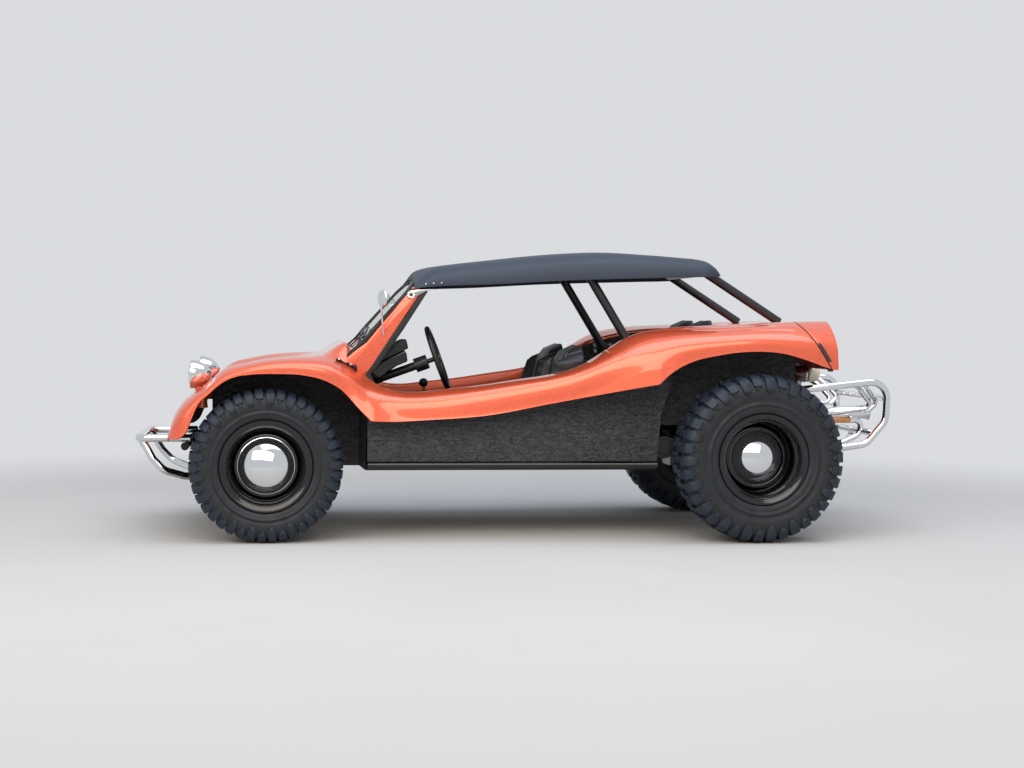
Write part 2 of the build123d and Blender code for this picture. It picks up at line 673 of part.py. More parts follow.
# name: x, wheel centre y, tyre radius, tyre width, mounting face, lugs in a row
WHEELS = {
    "front_left": (0.0, -FRONT_WHEEL_Y, FRONT_TYRE_R, FRONT_TYRE_W, HUB_FACE_Y, FRONT_LUGS),
    "front_right": (0.0, FRONT_WHEEL_Y, FRONT_TYRE_R, FRONT_TYRE_W, HUB_FACE_Y, FRONT_LUGS),
    "rear_left": (REAR_AXLE_X, -REAR_WHEEL_Y, REAR_TYRE_R, REAR_TYRE_W, REAR_HUB_FACE_Y, REAR_LUGS),
    "rear_right": (REAR_AXLE_X, REAR_WHEEL_Y, REAR_TYRE_R, REAR_TYRE_W, REAR_HUB_FACE_Y, REAR_LUGS),
}
for name, (x, y, radius, width, face, lugs) in WHEELS.items():
    save("tyre_" + name, place_wheel(tyre(radius, width, lugs), x, y, radius))
    save("wheel_" + name, place_wheel(wheel(width, face), x, y, radius))
    save("hub_cap_" + name, place_wheel(hub_cap(face), x, y, radius))

# Front axle: twin-tube beam, trailing arms, knuckles and tie rods
ARM_BOSS_R = 20.0
ARM_T = 18.0
KNUCKLE_HALF_H = 62.0
STUB_R = 16.0
KNUCKLE_DROP = 8.0


def front_axle_beam():
    beam = None
    for z in BEAM_Z:
        pipe = rod((BEAM_X, -BEAM_HALF, z), (BEAM_X, BEAM_HALF, z), BEAM_R)
        beam = pipe if beam is None else beam + pipe
    for y in (-BEAM_HALF + 30, -150, 150, BEAM_HALF - 30):
        beam += box(BEAM_X - 8, BEAM_X + 8, y - 20, y + 20, BEAM_Z[0], BEAM_Z[1])
    tower_y = SHOCK_Y - 18 - FIT
    tower = box(BEAM_X - 20, BEAM_X + 20, tower_y - 8, tower_y, BEAM_Z[1], SHOCK_TOP + 20)
    tower += box(SHOCK_X - 18, BEAM_X + 20, tower_y - 8, tower_y, SHOCK_TOP - 20, SHOCK_TOP + 20)
    for half in both(tower):
        beam += half
    beam += rod((CLAMP_X, -BUMPER_Y - 22, CLAMP_Z), (CLAMP_X, BUMPER_Y + 22, CLAMP_Z), CLAMP_R)
    for half in both(box(CLAMP_X, BEAM_X, 140, 160, CLAMP_Z - 15, CLAMP_Z + 15)):
        beam += half
    reach = TUNNEL_FRONT_X - FIT
    for z0, z1 in ((BEAM_Z[0] - 10, BEAM_Z[0] + 48), (BEAM_Z[1] - 22, BEAM_Z[1] + 20)):
        beam += box(BEAM_X, reach, -TUNNEL_HALF, TUNNEL_HALF, z0, z1)
    return beam


def front_arms():
    """Four trailing arms between the beam's ends and the knuckles."""
    arms = []
    y_in = BEAM_HALF + FIT
    for z, sign in ((BEAM_Z[0], -1), (BEAM_Z[1], 1)):
        z_out = FRONT_TYRE_R + sign * (KNUCKLE_HALF_H + 1 + ARM_T / 2)
        boss = rod((BEAM_X, y_in, z), (BEAM_X, y_in + 34, z), BEAM_R)
        arm = rod((BEAM_X + 10, y_in + 18, z), (-6, KINGPIN_Y - 5, z_out), ARM_T / 2)
        end = rod((0, KINGPIN_Y, z_out - ARM_T / 2), (0, KINGPIN_Y, z_out + ARM_T / 2), ARM_BOSS_R)
        if sign < 0:
            boss += box(SHOCK_X - 10, BEAM_X, y_in, y_in + 8, z - 12, z + 12)
        arms += both(boss + arm + end)
    return compound(arms)


def knuckle(side):
    """Steering knuckle with stub axle, backing plate and steering arm."""
    z = FRONT_TYRE_R
    post = rod((0, KINGPIN_Y, z - KNUCKLE_HALF_H), (0, KINGPIN_Y, z + KNUCKLE_HALF_H), ARM_BOSS_R)
    face = FRONT_WHEEL_Y + HUB_FACE_Y
    stub = rod((0, KINGPIN_Y, z), (0, face - 4, z), STUB_R)
    flange = rod((0, KINGPIN_Y + 10, z), (0, face - 72, z), 38)
    plate = rod((0, face - 76, z), (0, face - 72, z), DRUM_R - 12)
    arm = box(-STEER_ARM, 0, KINGPIN_Y - 12, KINGPIN_Y + 6, z - KNUCKLE_DROP - 7, z - KNUCKLE_DROP + 7)
    eye = rod((-STEER_ARM, KINGPIN_Y - 3, z - KNUCKLE_DROP - 7), (-STEER_ARM, KINGPIN_Y - 3, z - KNUCKLE_DROP + 7), 15)
    shape = post + stub + flange + plate + arm + eye
    return shape if side > 0 else mirror(shape, about=Plane.XZ)


def tie_rods():
    """Track rods from knuckle to knuckle, with the middle eye under the steering box."""
    z = FRONT_TYRE_R - KNUCKLE_DROP + 7 + 2 * FIT + 9
    y = KINGPIN_Y - 3
    total = rod((-STEER_ARM, -y, z), (-STEER_ARM, y, z), 8)
    for end in (-y, y):
        total += rod((-STEER_ARM, end, z - 9), (-STEER_ARM, end, z + 9), 14)
    return total


def steering_column():
    box_shape = box(STEERING_BOX[0] - 60, STEERING_BOX[0] + 45, STEERING_BOX[1] - 45, STEERING_BOX[1] + 45, 500, 600)
    hub = Vector(*STEERING_HUB)
    foot = Vector(*STEERING_BOX)
    way = (hub - foot).normalized()
    shaft = rod(STEERING_BOX, tuple(hub - way * 12), 12)
    jacket = rod(tuple(foot + way * 470), tuple(hub - way * 60), 21)
    switch = rod(tuple(hub - way * 118), tuple(hub - way * 52), 36)
    drop = box(BEAM_X - 12, BEAM_X + 80, STEERING_BOX[1] - 30, STEERING_BOX[1] + 30, BEAM_Z[1] + BEAM_R + FIT, 510)
    return box_shape + shaft + jacket + switch + drop


def steering_wheel():
    way = Vector(*STEERING_HUB) - Vector(*STEERING_BOX)
    plane = Plane(origin=STEERING_HUB, z_dir=way)
    rim = plane * Torus(STEERING_WHEEL_R - 13, 13)
    hub = plane * Cylinder(28, 30)
    total = rim + hub
    for angle in (0, 120, 240):
        reach = STEERING_WHEEL_R - 20
        x = reach * math.cos(math.radians(angle + 90))
        y = reach * math.sin(math.radians(angle + 90))
        end = plane.from_local_coords((x, y, 0))
        total += rod(STEERING_HUB, tuple(end), 6)
    return total - plane * Pos(0, 0, -15) * Cylinder(12 + 1, 14)


save("front_axle_beam", front_axle_beam())
save("front_arms", front_arms())
save("tie_rods", tie_rods())
save("steering_column", steering_column())
save("steering_wheel", steering_wheel())
for name, side in (("left", -1), ("right", 1)):
    save("knuckle_" + name, knuckle(side))

# Seats: closed forms of the padded shells
FRONT_SEAT_X = 1130.0
FRONT_SEAT_Y = 315.0
SEAT_HALF = 225.0
REAR_SEAT_X = 1700.0
REAR_SEAT_Y = 215.0


def bucket_seat(x, y, z, half, depth, back_height, back_lean, wing):
    """Cushion and leaning back with side wings, open between the wings."""
    back = 95.0
    top_x = x + depth + back_lean
    outline = [(x, z), (x - 10, z + 110), (x + 40, z + 135), (x + depth - 60, z + 105),
               (top_x - back, z + back_height), (top_x, z + back_height), (x + depth + 40, z)]
    core = side_plate(outline, y - half + wing, y + half - wing)
    lip = [(x, z), (x - 10, z + 150), (x + 60, z + 190), (x + depth - 130, z + 190),
           (top_x - back - 60, z + back_height - 60), (top_x - back + 20, z + back_height - 10),
           (top_x, z + back_height - 10), (x + depth + 40, z)]
    sides = side_plate(lip, y - half, y - half + wing) + side_plate(lip, y + half - wing, y + half)
    low, high = z - 5, z + back_height + 5
    waist = z + back_height * 0.55
    shape = [Polyline((0, y - half, waist), (0, y - half, low), (0, y + half, low), (0, y + half, waist)),
             ThreePointArc((0, y + half, waist), (0, y + half * 0.84, high - 45), (0, y + half * 0.45, high)),
             Line((0, y + half * 0.45, high), (0, y - half * 0.45, high)),
             ThreePointArc((0, y - half * 0.45, high), (0, y - half * 0.84, high - 45), (0, y - half, waist))]
    front_view = make_face([e for run in shape for e in run.edges()])
    return (core + sides) & Pos(x - 200, 0, 0) * extrude(front_view, amount=1500, dir=(1, 0, 0))


def front_seat(side):
    z = PAN_TOP + SEAT_RAIL_H + FIT
    return bucket_seat(FRONT_SEAT_X, side * FRONT_SEAT_Y, z, SEAT_HALF, 340, 585, 110, 55)


def rear_seat(side):
    return bucket_seat(REAR_SEAT_X, side * REAR_SEAT_Y, TUB_FLOOR_Z + FIT, 205, 430, 545, 150, 45)


SEAT_RAIL_H = 45.0


def seat_rails():
    rails = []
    for y in (FRONT_SEAT_Y - 150, FRONT_SEAT_Y + 150):
        rails += both(box(FRONT_SEAT_X + 20, FRONT_SEAT_X + 360, y - 15, y + 15, PAN_TOP, PAN_TOP + SEAT_RAIL_H))
    return compound(rails)


def gear_lever():
    foot = PAN_Z + TUNNEL_H + FIT
    stick = rod((800, 0, foot), (805, 0, 735), 7)
    gaiter = Solid.make_cone(40, 12, 60, Plane(origin=(800, 0, foot), z_dir=(0, 0, 1)))
    return stick + gaiter + Pos(805, 0, 750) * Sphere(23)


POD_OUTLINE = [(536, 782), (500, 786), (492, 812), (545, 846), (618, 932), (660, 964), (693, 976), (694, 886),
               (585, 836)]
POD_Y = (-425.0, -285.0)


def instrument_pod():
    """Hooded binnacle for the round instruments, on top of the fascia."""
    pod = side_plate(POD_OUTLINE, POD_Y[0], POD_Y[1])
    middle = (POD_Y[0] + POD_Y[1]) / 2
    for y in (middle - 34, middle + 34):
        pod -= rod((686, y, 930), (710, y, 930), 28)
    return pod - fascia(FIT) - rod(STEERING_BOX, STEERING_HUB, 24)


def fuel_tank():
    tank = box(-215, 180, -190, 190, 610, 740)
    tank = fillet(tank.edges(), 25)
    neck = rod((60, 0, 735), (60, 0, 790), 35)
    straps = box(-10, 10, -60, 60, PAN_Z + TUNNEL_H + FIT, 612) + box(100, 120, -60, 60, PAN_Z + TUNNEL_H + FIT, 612)
    return tank + neck + straps


# Rear running gear
# x0, half width, z0, z1
GEARBOX = (REAR_AXLE_X - 390, 105.0, REAR_TYRE_R - 91, REAR_TYRE_R + 89)
# x0, x1, z0, z1
ENGINE = (REAR_AXLE_X + 60, REAR_AXLE_X + 400, REAR_TYRE_R - 91, REAR_TYRE_R + 134)
HORN_Y = (135.0, 175.0)   # fork that carries gearbox and bumper
HORN_REAR_X = REAR_AXLE_X - 60


COVER_R = 56.0
COVER_BOLTS = 4


def torsion_cover():
    """Round cover with bolt bosses at the outer end of the torsion tube."""
    plate = rod((TORSION_X, TORSION_HALF - 22, TORSION_Z), (TORSION_X, TORSION_HALF - 8, TORSION_Z), COVER_R)
    for i in range(COVER_BOLTS):
        angle = math.radians(45 + 360 / COVER_BOLTS * i)
        x = TORSION_X + (COVER_R - 4) * math.cos(angle)
        z = TORSION_Z + (COVER_R - 4) * math.sin(angle)
        plate += rod((x, TORSION_HALF - 22, z), (x, TORSION_HALF - 2, z), 10)
    return plate


def torsion_tube():
    reach = TORSION_HALF
    housing = rod((TORSION_X, -reach + 40, TORSION_Z), (TORSION_X, reach - 40, TORSION_Z), TORSION_R)
    caps = rod((TORSION_X, -reach, TORSION_Z), (TORSION_X, reach, TORSION_Z), 34)
    for half in both(torsion_cover()):
        caps += half
    horns = box(TORSION_X, HORN_REAR_X, HORN_Y[0], HORN_Y[1], TORSION_Z - 25, TORSION_Z + 25)
    horns_left = mirror(horns, about=Plane.XZ)
    return housing + caps + horns + horns_left


def rear_arm_bar(side, grow):
    """Trailing arm from the torsion tube out to the hub carrier."""
    face = REAR_WHEEL_Y + REAR_HUB_FACE_Y
    start = (TORSION_X + TORSION_R + 24 + FIT, side * 330, TORSION_Z)
    return rod(start, (REAR_AXLE_X, side * (face - 130), REAR_TYRE_R), 24 + grow)


def half_shafts():
    shafts = []
    z = REAR_TYRE_R
    face = REAR_WHEEL_Y + REAR_HUB_FACE_Y
    shaft = rod((REAR_AXLE_X, GEARBOX[1] + 40, z), (REAR_AXLE_X, face - 4, z), STUB_R)
    joint = rod((REAR_AXLE_X, GEARBOX[1] + FIT, z), (REAR_AXLE_X, GEARBOX[1] + 60, z), 50)
    carrier = rod((REAR_AXLE_X, face - 150, z), (REAR_AXLE_X, face - 72, z), 42)
    plate = rod((REAR_AXLE_X, face - 76, z), (REAR_AXLE_X, face - 72, z), DRUM_R - 12)
    arm = rear_arm_bar(1, 0)
    pivot = rod((TORSION_X + TORSION_R + 20 + FIT, 300, TORSION_Z), (TORSION_X + TORSION_R + 20 + FIT, 360, TORSION_Z), 20)
    for half in both(shaft + joint + carrier + plate + arm + pivot):
        shafts.append(half)
    return compound(shafts)


def gearbox():
    x0, half, z0, z1 = GEARBOX
    case = box(x0 + 90, ENGINE[0] - FIT, -half, half, z0, z1)
    nose = box(x0 + FIT, x0 + 90, -60, 60, z0 + 60, z1 - 40)
    return fillet(case.edges().filter_by(Axis.X), 35) + nose


HEAD_Y = (290.0, 372.0)   # cylinder heads, inner and outer face
HEAD_PORT_Y = 330.0
HEAD_FOOT = 90.0          # the heads' lower face, above the crankcase's
CASE_HALF = 130.0
FIN_COUNT = 7
FIN_R = 78.0
BARREL_R = 62.0
BARREL_STEP = 82.0        # half the distance between two barrels of a bank


def engine_heads(grow):
    """Both cylinder heads as blocks with sloped lower corners."""
    x0, x1, z0, z1 = ENGINE
    low, high = z0 + HEAD_FOOT, z1 - 20 + grow
    slope = 20
    outline = [(HEAD_Y[0], low), (HEAD_Y[1] - slope, low), (HEAD_Y[1], low + slope), (HEAD_Y[1], high - slope),
               (HEAD_Y[1] - slope, high), (HEAD_Y[0], high)]
    face = make_face(Polyline(*[(x0 + 25, y, z) for y, z in outline], close=True))
    head = extrude(face, amount=x1 - x0 - 60, dir=(1, 0, 0))
    return head + mirror(head, about=Plane.XZ)


def cylinder_bank(x, z):
    """Two barrels between crankcase and head, with the fins that run round both."""
    y0, y1 = CASE_HALF - 2, HEAD_Y[0] + 2
    bank = rod((x - BARREL_STEP, y0, z), (x - BARREL_STEP, y1, z), BARREL_R)
    bank += rod((x + BARREL_STEP, y0, z), (x + BARREL_STEP, y1, z), BARREL_R)
    long, cut = BARREL_STEP + FIN_R, FIN_R * 0.45
    outline = [(x - long, z - FIN_R + cut), (x - long + cut, z - FIN_R), (x + long - cut, z - FIN_R),
               (x + long, z - FIN_R + cut), (x + long, z + FIN_R - cut), (x + long - cut, z + FIN_R),
               (x - long + cut, z + FIN_R), (x - long, z + FIN_R - cut)]
    pitch = (HEAD_Y[0] - CASE_HALF) / FIN_COUNT
    for i in range(FIN_COUNT):
        y = CASE_HALF + pitch * (i + 0.6)
        bank += side_plate(outline, y, y + pitch * 0.35)
    return bank


def engine_block():
    """Flat four: crankcase, two banks of finned barrels, two heads with their covers."""
    x0, x1, z0, z1 = ENGINE
    case = box(x0, x1, -CASE_HALF, CASE_HALF, z0, z1)
    case = fillet(case.edges().filter_by(Axis.X).group_by(Axis.Z)[0], 45)
    total = case + engine_heads(0)
    cover = rod((x0 + 55, HEAD_Y[1] - 5, z0 + 155), (x1 - 70, HEAD_Y[1] - 5, z0 + 155), 34)
    for half in both(cylinder_bank((x0 + x1) / 2 - 5, (z0 + z1) / 2 + 10) + cover):
        total += half
    pulley = rod((x1 - 2, 0, z0 + 80), (x1 + 22, 0, z0 + 80), 72)
    return total + pulley


FAN_Z = ENGINE[3] + 145
FAN_R = 135.0


def fan_shroud():
    """Round fan housing with a wing down over each pair of cylinders, dynamo and pulley."""
    x0 = ENGINE[0] + 40
    z = ENGINE[3] + FIT
    depth = 120.0
    drum = rod((x0, 0, FAN_Z), (x0 + depth, 0, FAN_Z), FAN_R)
    wings = [(-325, z), (-325, z + 50), (-170, z + 120), (-FAN_R + 20, FAN_Z + 40), (FAN_R - 20, FAN_Z + 40),
             (170, z + 120), (325, z + 50), (325, z)]
    face = make_face(Polyline(*[(x0, y, h) for y, h in wings], close=True))
    drum += extrude(face, amount=depth, dir=(1, 0, 0))
    ring = rod((x0 + depth - 1, 0, FAN_Z), (x0 + depth + 14, 0, FAN_Z), FAN_R - 25)
    dynamo = rod((x0 + depth, 0, FAN_Z), (x0 + depth + 130, 0, FAN_Z), 52)
    pulley = rod((x0 + depth + 125, 0, FAN_Z), (x0 + depth + 152, 0, FAN_Z), 66)
    groove = pulley - rod((x0, 0, FAN_Z), (x0 + 400, 0, FAN_Z), 54)
    groove &= box(x0 + depth + 133, x0 + depth + 144, -80, 80, FAN_Z - 80, FAN_Z + 80)
    return drum + ring + dynamo + pulley - groove


CARB_X = ENGINE[1] - 100
CLEANER = (CARB_X - 12, CARB_X + 132, HEAD_PORT_Y, ENGINE[3] + 269)  # x from, x to, y, z
CLEANER_R = 42.0


def air_cleaners():
    """A carburettor on each head with a round air cleaner lying along the car on top."""
    x0, x1, y, z = CLEANER
    drum = rod((x0, y, z), (x1, y, z), CLEANER_R)
    drum += rod((x0 + 66, y, z), (x0 + 72, y, z), CLEANER_R + 3)
    carb = rod((CARB_X + 16, y, ENGINE[3] - 40), (CARB_X + 16, y, z), 24)
    carb += rod((CARB_X + 16, y, z - 150), (CARB_X + 16, y, z - 80), 36)
    carb += box(CARB_X - 24, CARB_X + 56, y - 26, y + 26, ENGINE[3] - 30, ENGINE[3] - 8)
    return compound(both(drum + carb - engine_heads(FIT)))


def exhaust():
    """Collected pipes into one trumpet, in the middle behind the engine."""
    trumpet = rod((2960, -60, 600), (3180, -60, 612), 34)
    bell = rod((3150, -60, 611), (3185, -60, 613), 41)
    port = ENGINE[2] + HEAD_FOOT - 19 - FIT
    y = HEAD_PORT_Y
    run = tube([(CARB_X, -y, port), (2900, -y, port), (2900, -60, 430), (2960, -60, 600)], 19, 45)
    run2 = tube([(CARB_X, y, port), (2900, y, port), (2900, -60, 430)], 19, 45)
    lift = rod((2900, -60, 425), (2975, -60, 601), 24)
    return trumpet + bell + run2 + run + lift


# Bumpers
BUMPER_R = 19.0


TOW_PLATE_T = 12.0
TOW_HOLE_R = 12.5
TOW_DROP = 27.0


def tow_eye(x, z):
    """A flat eye welded under a cross bar whose lower side is at z."""
    plate = box(x - 24, x + 24, -TOW_PLATE_T / 2, TOW_PLATE_T / 2, z - TOW_DROP, z + 8)
    plate += rod((x, -TOW_PLATE_T / 2, z - TOW_DROP), (x, TOW_PLATE_T / 2, z - TOW_DROP), 24)
    return plate - rod((x, -20, z - TOW_DROP), (x, 20, z - TOW_DROP), TOW_HOLE_R)


def front_bumper():
    """Side loops joined by a front bar, clamped to the cross tube and the axle beam."""
    z = BUMPER_Z
    y = BUMPER_Y
    x_front = -FRONT_REACH + BUMPER_R
    total = tube([(CLAMP_X - 30, -y, z), (x_front, -y, z), (x_front, y, z), (CLAMP_X - 30, y, z)], BUMPER_R, 60)
    top = rod((CLAMP_X - 45, y, z), (CLAMP_X + 25, y, z), BUMPER_R)
    clamp = box(CLAMP_X - 14, CLAMP_X + 14, y - 16, y + 16, CLAMP_Z, z)
    stay = tube([(x_front + 12, y - 40, z), (-505, y - 10, 322), (-400, 262, 285),
                 (BEAM_X - BEAM_R + 8, 240, BEAM_Z[0])], BUMPER_R, 30)
    for piece in (top, clamp, stay):
        for half in both(piece):
            total += half
    seat = rod((BEAM_X, -BEAM_HALF, BEAM_Z[0]), (BEAM_X, BEAM_HALF, BEAM_Z[0]), BEAM_R + FIT)
    seat += rod((CLAMP_X, -500, CLAMP_Z), (CLAMP_X, 500, CLAMP_Z), CLAMP_R + FIT)
    return total + tow_eye(x_front, z - BUMPER_R) - seat


def rear_bumper():
    """Two side loops round the engine, joined by cross bars."""
    x_back = REAR_AXLE_X + REAR_REACH - BUMPER_R
    loop = tube([(HORN_REAR_X - 20, HORN_Y[1] + FIT, LOOP_Z), (HORN_REAR_X - 20, HORN_Y[1] + 65, LOOP_Z),
                 (REAR_AXLE_X + 40, 420, LOOP_Z), (x_back - 130, 420, LOOP_Z), (x_back - 42, 420, 530),
                 (x_back, 420, 715), (x_back - 80, 420, 762), (REAR_AXLE_X + 80, 420, 715),
                 (REAR_AXLE_X + 80, 420, LOOP_Z)], BUMPER_R, [40, 50, 60, 60, 30, 30, 50])
    total = rod((x_back, -420, 695), (x_back, 420, 695), BUMPER_R)
    total += rod((x_back - 60, -420, 510), (x_back - 60, 420, 510), BUMPER_R)
    total += tow_eye(x_back - 60, 510 - BUMPER_R)
    for half in both(loop):
        total += half
    return total


LAMP_X = -327.0
LAMP_Z = 803.0
LAMP_Y = 486.0
# along the car from the lamp's middle, radius: domed lens, bezel, bowl
LAMP_BOWL = [(-51, 0), (-50, 26), (-46, 45), (-42, 58), (-42, 67), (-39, 71), (-34, 71), (-26, 70), (-8, 66),
             (20, 55), (44, 38), (60, 16), (66, 0)]


def headlamps():
    """Chrome bowls on the fenders."""
    lamps = []
    for side in (-1, 1):
        y = side * LAMP_Y
        line = [(x, 0, r) for x, r in LAMP_BOWL]
        bowl = revolve(make_face(Polyline(*line, close=True)), axis=Axis.X, revolution_arc=360)
        stand = rod((LAMP_X + 9, y, LAMP_Z - 40), (LAMP_X + 9, y, LAMP_Z - 163), 24)
        lamps.append(Pos(LAMP_X, y, LAMP_Z) * bowl + stand - front_solid(-FIT))
    return compound(lamps)


def tail_lamps():
    """Long lenses in the slots behind the tail seam."""
    return (rear_solid(-3) - rear_solid(SHELL_T)) & lamp_slot(FIT)


def mirrors():
    """Oval mirrors on thin rods from the screen posts."""
    total = []
    for side in (-1, 1):
        y = side * 620
        head = rod((545, y, 1178), (560, y, 1178), 58)
        stick = rod((560, y, 1178), (557, side * 585, 1000), 6)
        foot = rod((557, side * 585, 1000), (557, side * 500, 1000), 10)
        total.append(head + stick + foot - screen_posts(FIT))
    return compound(total)


def screen_posts(grow):
    """The windscreen posts' outer form, for pieces that seat on it."""
    face = screen_face(-grow, SCREEN_FOOT_SPARE)
    return extrude(SCREEN_PLANE * face, amount=CHEEK_DEPTH, dir=SCREEN_PLANE.z_dir)


def shock_absorbers():
    total = []
    for side in (-1, 1):
        lower = (SHOCK_X, side * SHOCK_Y, BEAM_Z[0])
        upper = (SHOCK_X, side * SHOCK_Y, SHOCK_TOP)
        strut = rod(lower, upper, 16)
        for z in (BEAM_Z[0], SHOCK_TOP):
            strut += rod((SHOCK_X, side * (SHOCK_Y - 18), z), (SHOCK_X, side * (SHOCK_Y + 18), z), 15)
        total.append(strut)
        wall = REAR_WALL_Y
        strut = rod((2300, side * (wall + 27), 775), (2350, side * (wall + 27), 450), 22)
        strut += rod((2300, side * wall, 775), (2300, side * (wall + 50), 775), 18)
        strut += rod((2350, side * (wall + 10), 450), (2350, side * (wall + 70), 440), 18)
        total.append(strut - rear_arm_bar(side, FIT))
    return compound(total)


save("seat_rails", seat_rails())
save("gear_lever", gear_lever())
save("instrument_pod", instrument_pod())
save("fuel_tank", fuel_tank())
save("torsion_tube", torsion_tube())
save("half_shafts", half_shafts())
save("gearbox", gearbox())
save("engine_block", engine_block())
save("fan_shroud", fan_shroud())
save("air_cleaners", air_cleaners())
save("exhaust", exhaust())
save("front_bumper", front_bumper())
save("rear_bumper", rear_bumper())
save("headlamps", headlamps())
save("tail_lamps", tail_lamps())
save("mirrors", mirrors())
save("shock_absorbers", shock_absorbers())
for name, side in (("left", -1), ("right", 1)):
    save("front_seat_" + name, front_seat(side))
    save("rear_seat_" + name, rear_seat(side))
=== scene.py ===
"""Looks of a four-seat dune buggy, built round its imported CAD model.

Shapes are drawn in millimetres from the front axle line (x), the middle plane (y) and
the ground (z), as on the car's own drawing, and placed in the frame in metres.
"""
import math

import bmesh
import bpy
import numpy as np
from mathutils import Matrix, Vector


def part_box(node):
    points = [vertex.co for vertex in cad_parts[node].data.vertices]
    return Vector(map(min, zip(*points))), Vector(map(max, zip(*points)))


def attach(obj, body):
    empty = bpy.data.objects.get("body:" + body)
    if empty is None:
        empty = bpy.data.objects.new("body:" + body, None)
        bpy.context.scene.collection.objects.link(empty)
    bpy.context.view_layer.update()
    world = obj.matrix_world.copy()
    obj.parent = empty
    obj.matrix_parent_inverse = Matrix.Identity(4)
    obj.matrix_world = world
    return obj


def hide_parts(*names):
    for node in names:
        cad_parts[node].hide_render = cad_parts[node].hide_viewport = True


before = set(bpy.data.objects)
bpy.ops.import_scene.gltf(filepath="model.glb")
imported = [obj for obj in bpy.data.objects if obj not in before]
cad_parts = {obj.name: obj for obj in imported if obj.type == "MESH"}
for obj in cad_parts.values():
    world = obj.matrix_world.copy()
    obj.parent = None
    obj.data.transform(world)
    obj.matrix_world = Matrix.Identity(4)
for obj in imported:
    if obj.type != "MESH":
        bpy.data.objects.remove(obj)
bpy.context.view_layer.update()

MM = 0.001
low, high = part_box("wheel_front_left")
AXLE_X = (low.x + high.x) / 2 / MM      # front axle line in the frame, in millimetres
LEFT, RIGHT = -1, 1


# Curves and meshes

def placed(points):
    """Drawing points in millimetres, as frame points in metres."""
    return (np.asarray(points, float) + (AXLE_X, 0, 0)) * MM


def curve_value(stations, values, x):
    """Smooth cubic through a table's values, with slopes taken from the neighbours."""
    xs = np.asarray(stations, float)
    vs = np.asarray(values, float)
    slopes = np.gradient(vs, xs, axis=0)
    i = int(np.clip(np.searchsorted(xs, x) - 1, 0, len(xs) - 2))
    span = xs[i + 1] - xs[i]
    t = (x - xs[i]) / span
    a, b = 2 * t**3 - 3 * t**2 + 1, t**3 - 2 * t**2 + t
    c, d = 3 * t**2 - 2 * t**3, t**3 - t**2
    return a * vs[i] + b * span * slopes[i] + c * vs[i + 1] + d * span * slopes[i + 1]


def through(points, counts):
    """Samples of a smooth line through points; the first and last only guide its ends."""
    pts = np.asarray(points, float)
    steps = np.linalg.norm(np.diff(pts, axis=0), axis=1) ** 0.8
    run = np.concatenate([[0], np.cumsum(np.maximum(steps, 1e-6))])
    out = []
    for i, n in enumerate(counts):
        for k in range(n):
            out.append(curve_value(run, pts, run[i + 1] + (run[i + 2] - run[i + 1]) * k / n))
    out.append(pts[len(counts) + 1])
    return out


def mesh_piece(name, points, faces, material, smooth=True):
    """A mesh object from drawing points."""
    mesh = bpy.data.meshes.new(name)
    mesh.from_pydata(placed(points).tolist(), [], faces)
    mesh.polygons.foreach_set("use_smooth", [smooth] * len(faces))
    mesh.materials.append(material)
    obj = bpy.data.objects.new(name, mesh)
    bpy.context.collection.objects.link(obj)
    return obj


def grid(rows, close_rows=False, close_columns=False, flip=False):
    """Points and quads of a net of rows."""
    n, m = len(rows), len(rows[0])
    points = [p for row in rows for p in row]
    faces = []
    for i in range(n if close_rows else n - 1):
        for j in range(m if close_columns else m - 1):
            a, b = i * m + j, i * m + (j + 1) % m
            c, d = ((i + 1) % n) * m + (j + 1) % m, ((i + 1) % n) * m + j
            faces.append((a, d, c, b) if flip else (a, b, c, d))
    return points, faces


def joined(parts):
    """Points and faces of several nets in one."""
    points, faces = [], []
    for pts, fcs in parts:
        start = len(points)
        points += [tuple(p) for p in pts]
        faces += [tuple(i + start for i in f) for f in fcs]
    return points, faces


def mirrored(part):
    """The same net on the other side of the middle plane."""
    pts, fcs = part
    return [(p[0], -p[1], p[2]) for p in pts], [tuple(reversed(f)) for f in fcs]


def both_sides(part):
    return joined([part, mirrored(part)])


def baked(obj):
    """The object with its modifiers applied as a plain mesh."""
    bpy.context.view_layer.update()
    graph = bpy.context.evaluated_depsgraph_get()
    mesh = bpy.data.meshes.new_from_object(obj.evaluated_get(graph))
    obj.modifiers.clear()
    obj.data = mesh
    return obj


def tidy(obj, merge=0.05, outward=True):
    """Merge doubled points and turn the faces outwards."""
    bm = bmesh.new()
    bm.from_mesh(obj.data)
    bmesh.ops.remove_doubles(bm, verts=bm.verts, dist=merge * MM)
    if outward:
        bmesh.ops.recalc_face_normals(bm, faces=bm.faces)
    bm.to_mesh(obj.data)
    bm.free()
    return obj


def edged(obj, width=0.0, angle=35, segments=2, thickness=0.0, crisp=38, levels=0):
    """Wall thickness, softened edges and smooth shading between sharp edges."""
    if levels:
        sub = obj.modifiers.new("rounding", "SUBSURF")
        sub.levels = levels
        sub.render_levels = levels
    if thickness:
        wall = obj.modifiers.new("wall", "SOLIDIFY")
        wall.thickness = thickness * MM
        wall.offset = -1
        wall.use_even_offset = True
    if width:
        soft = obj.modifiers.new("edge", "BEVEL")
        soft.width = width * MM
        soft.segments = segments
        soft.limit_method = "ANGLE"
        soft.angle_limit = math.radians(angle)
        soft.use_clamp_overlap = True
    if obj.modifiers:
        baked(obj)
    obj.data.polygons.foreach_set("use_smooth", [True] * len(obj.data.polygons))
    obj.data.set_sharp_from_angle(angle=math.radians(crisp))
    return obj


def kept(obj, body, slot, *nodes):
    """Hand the finished piece to its body and hide the nodes it stands for; slot is not used."""
    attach(obj, body)
    if nodes:
        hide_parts(*nodes)
    return obj


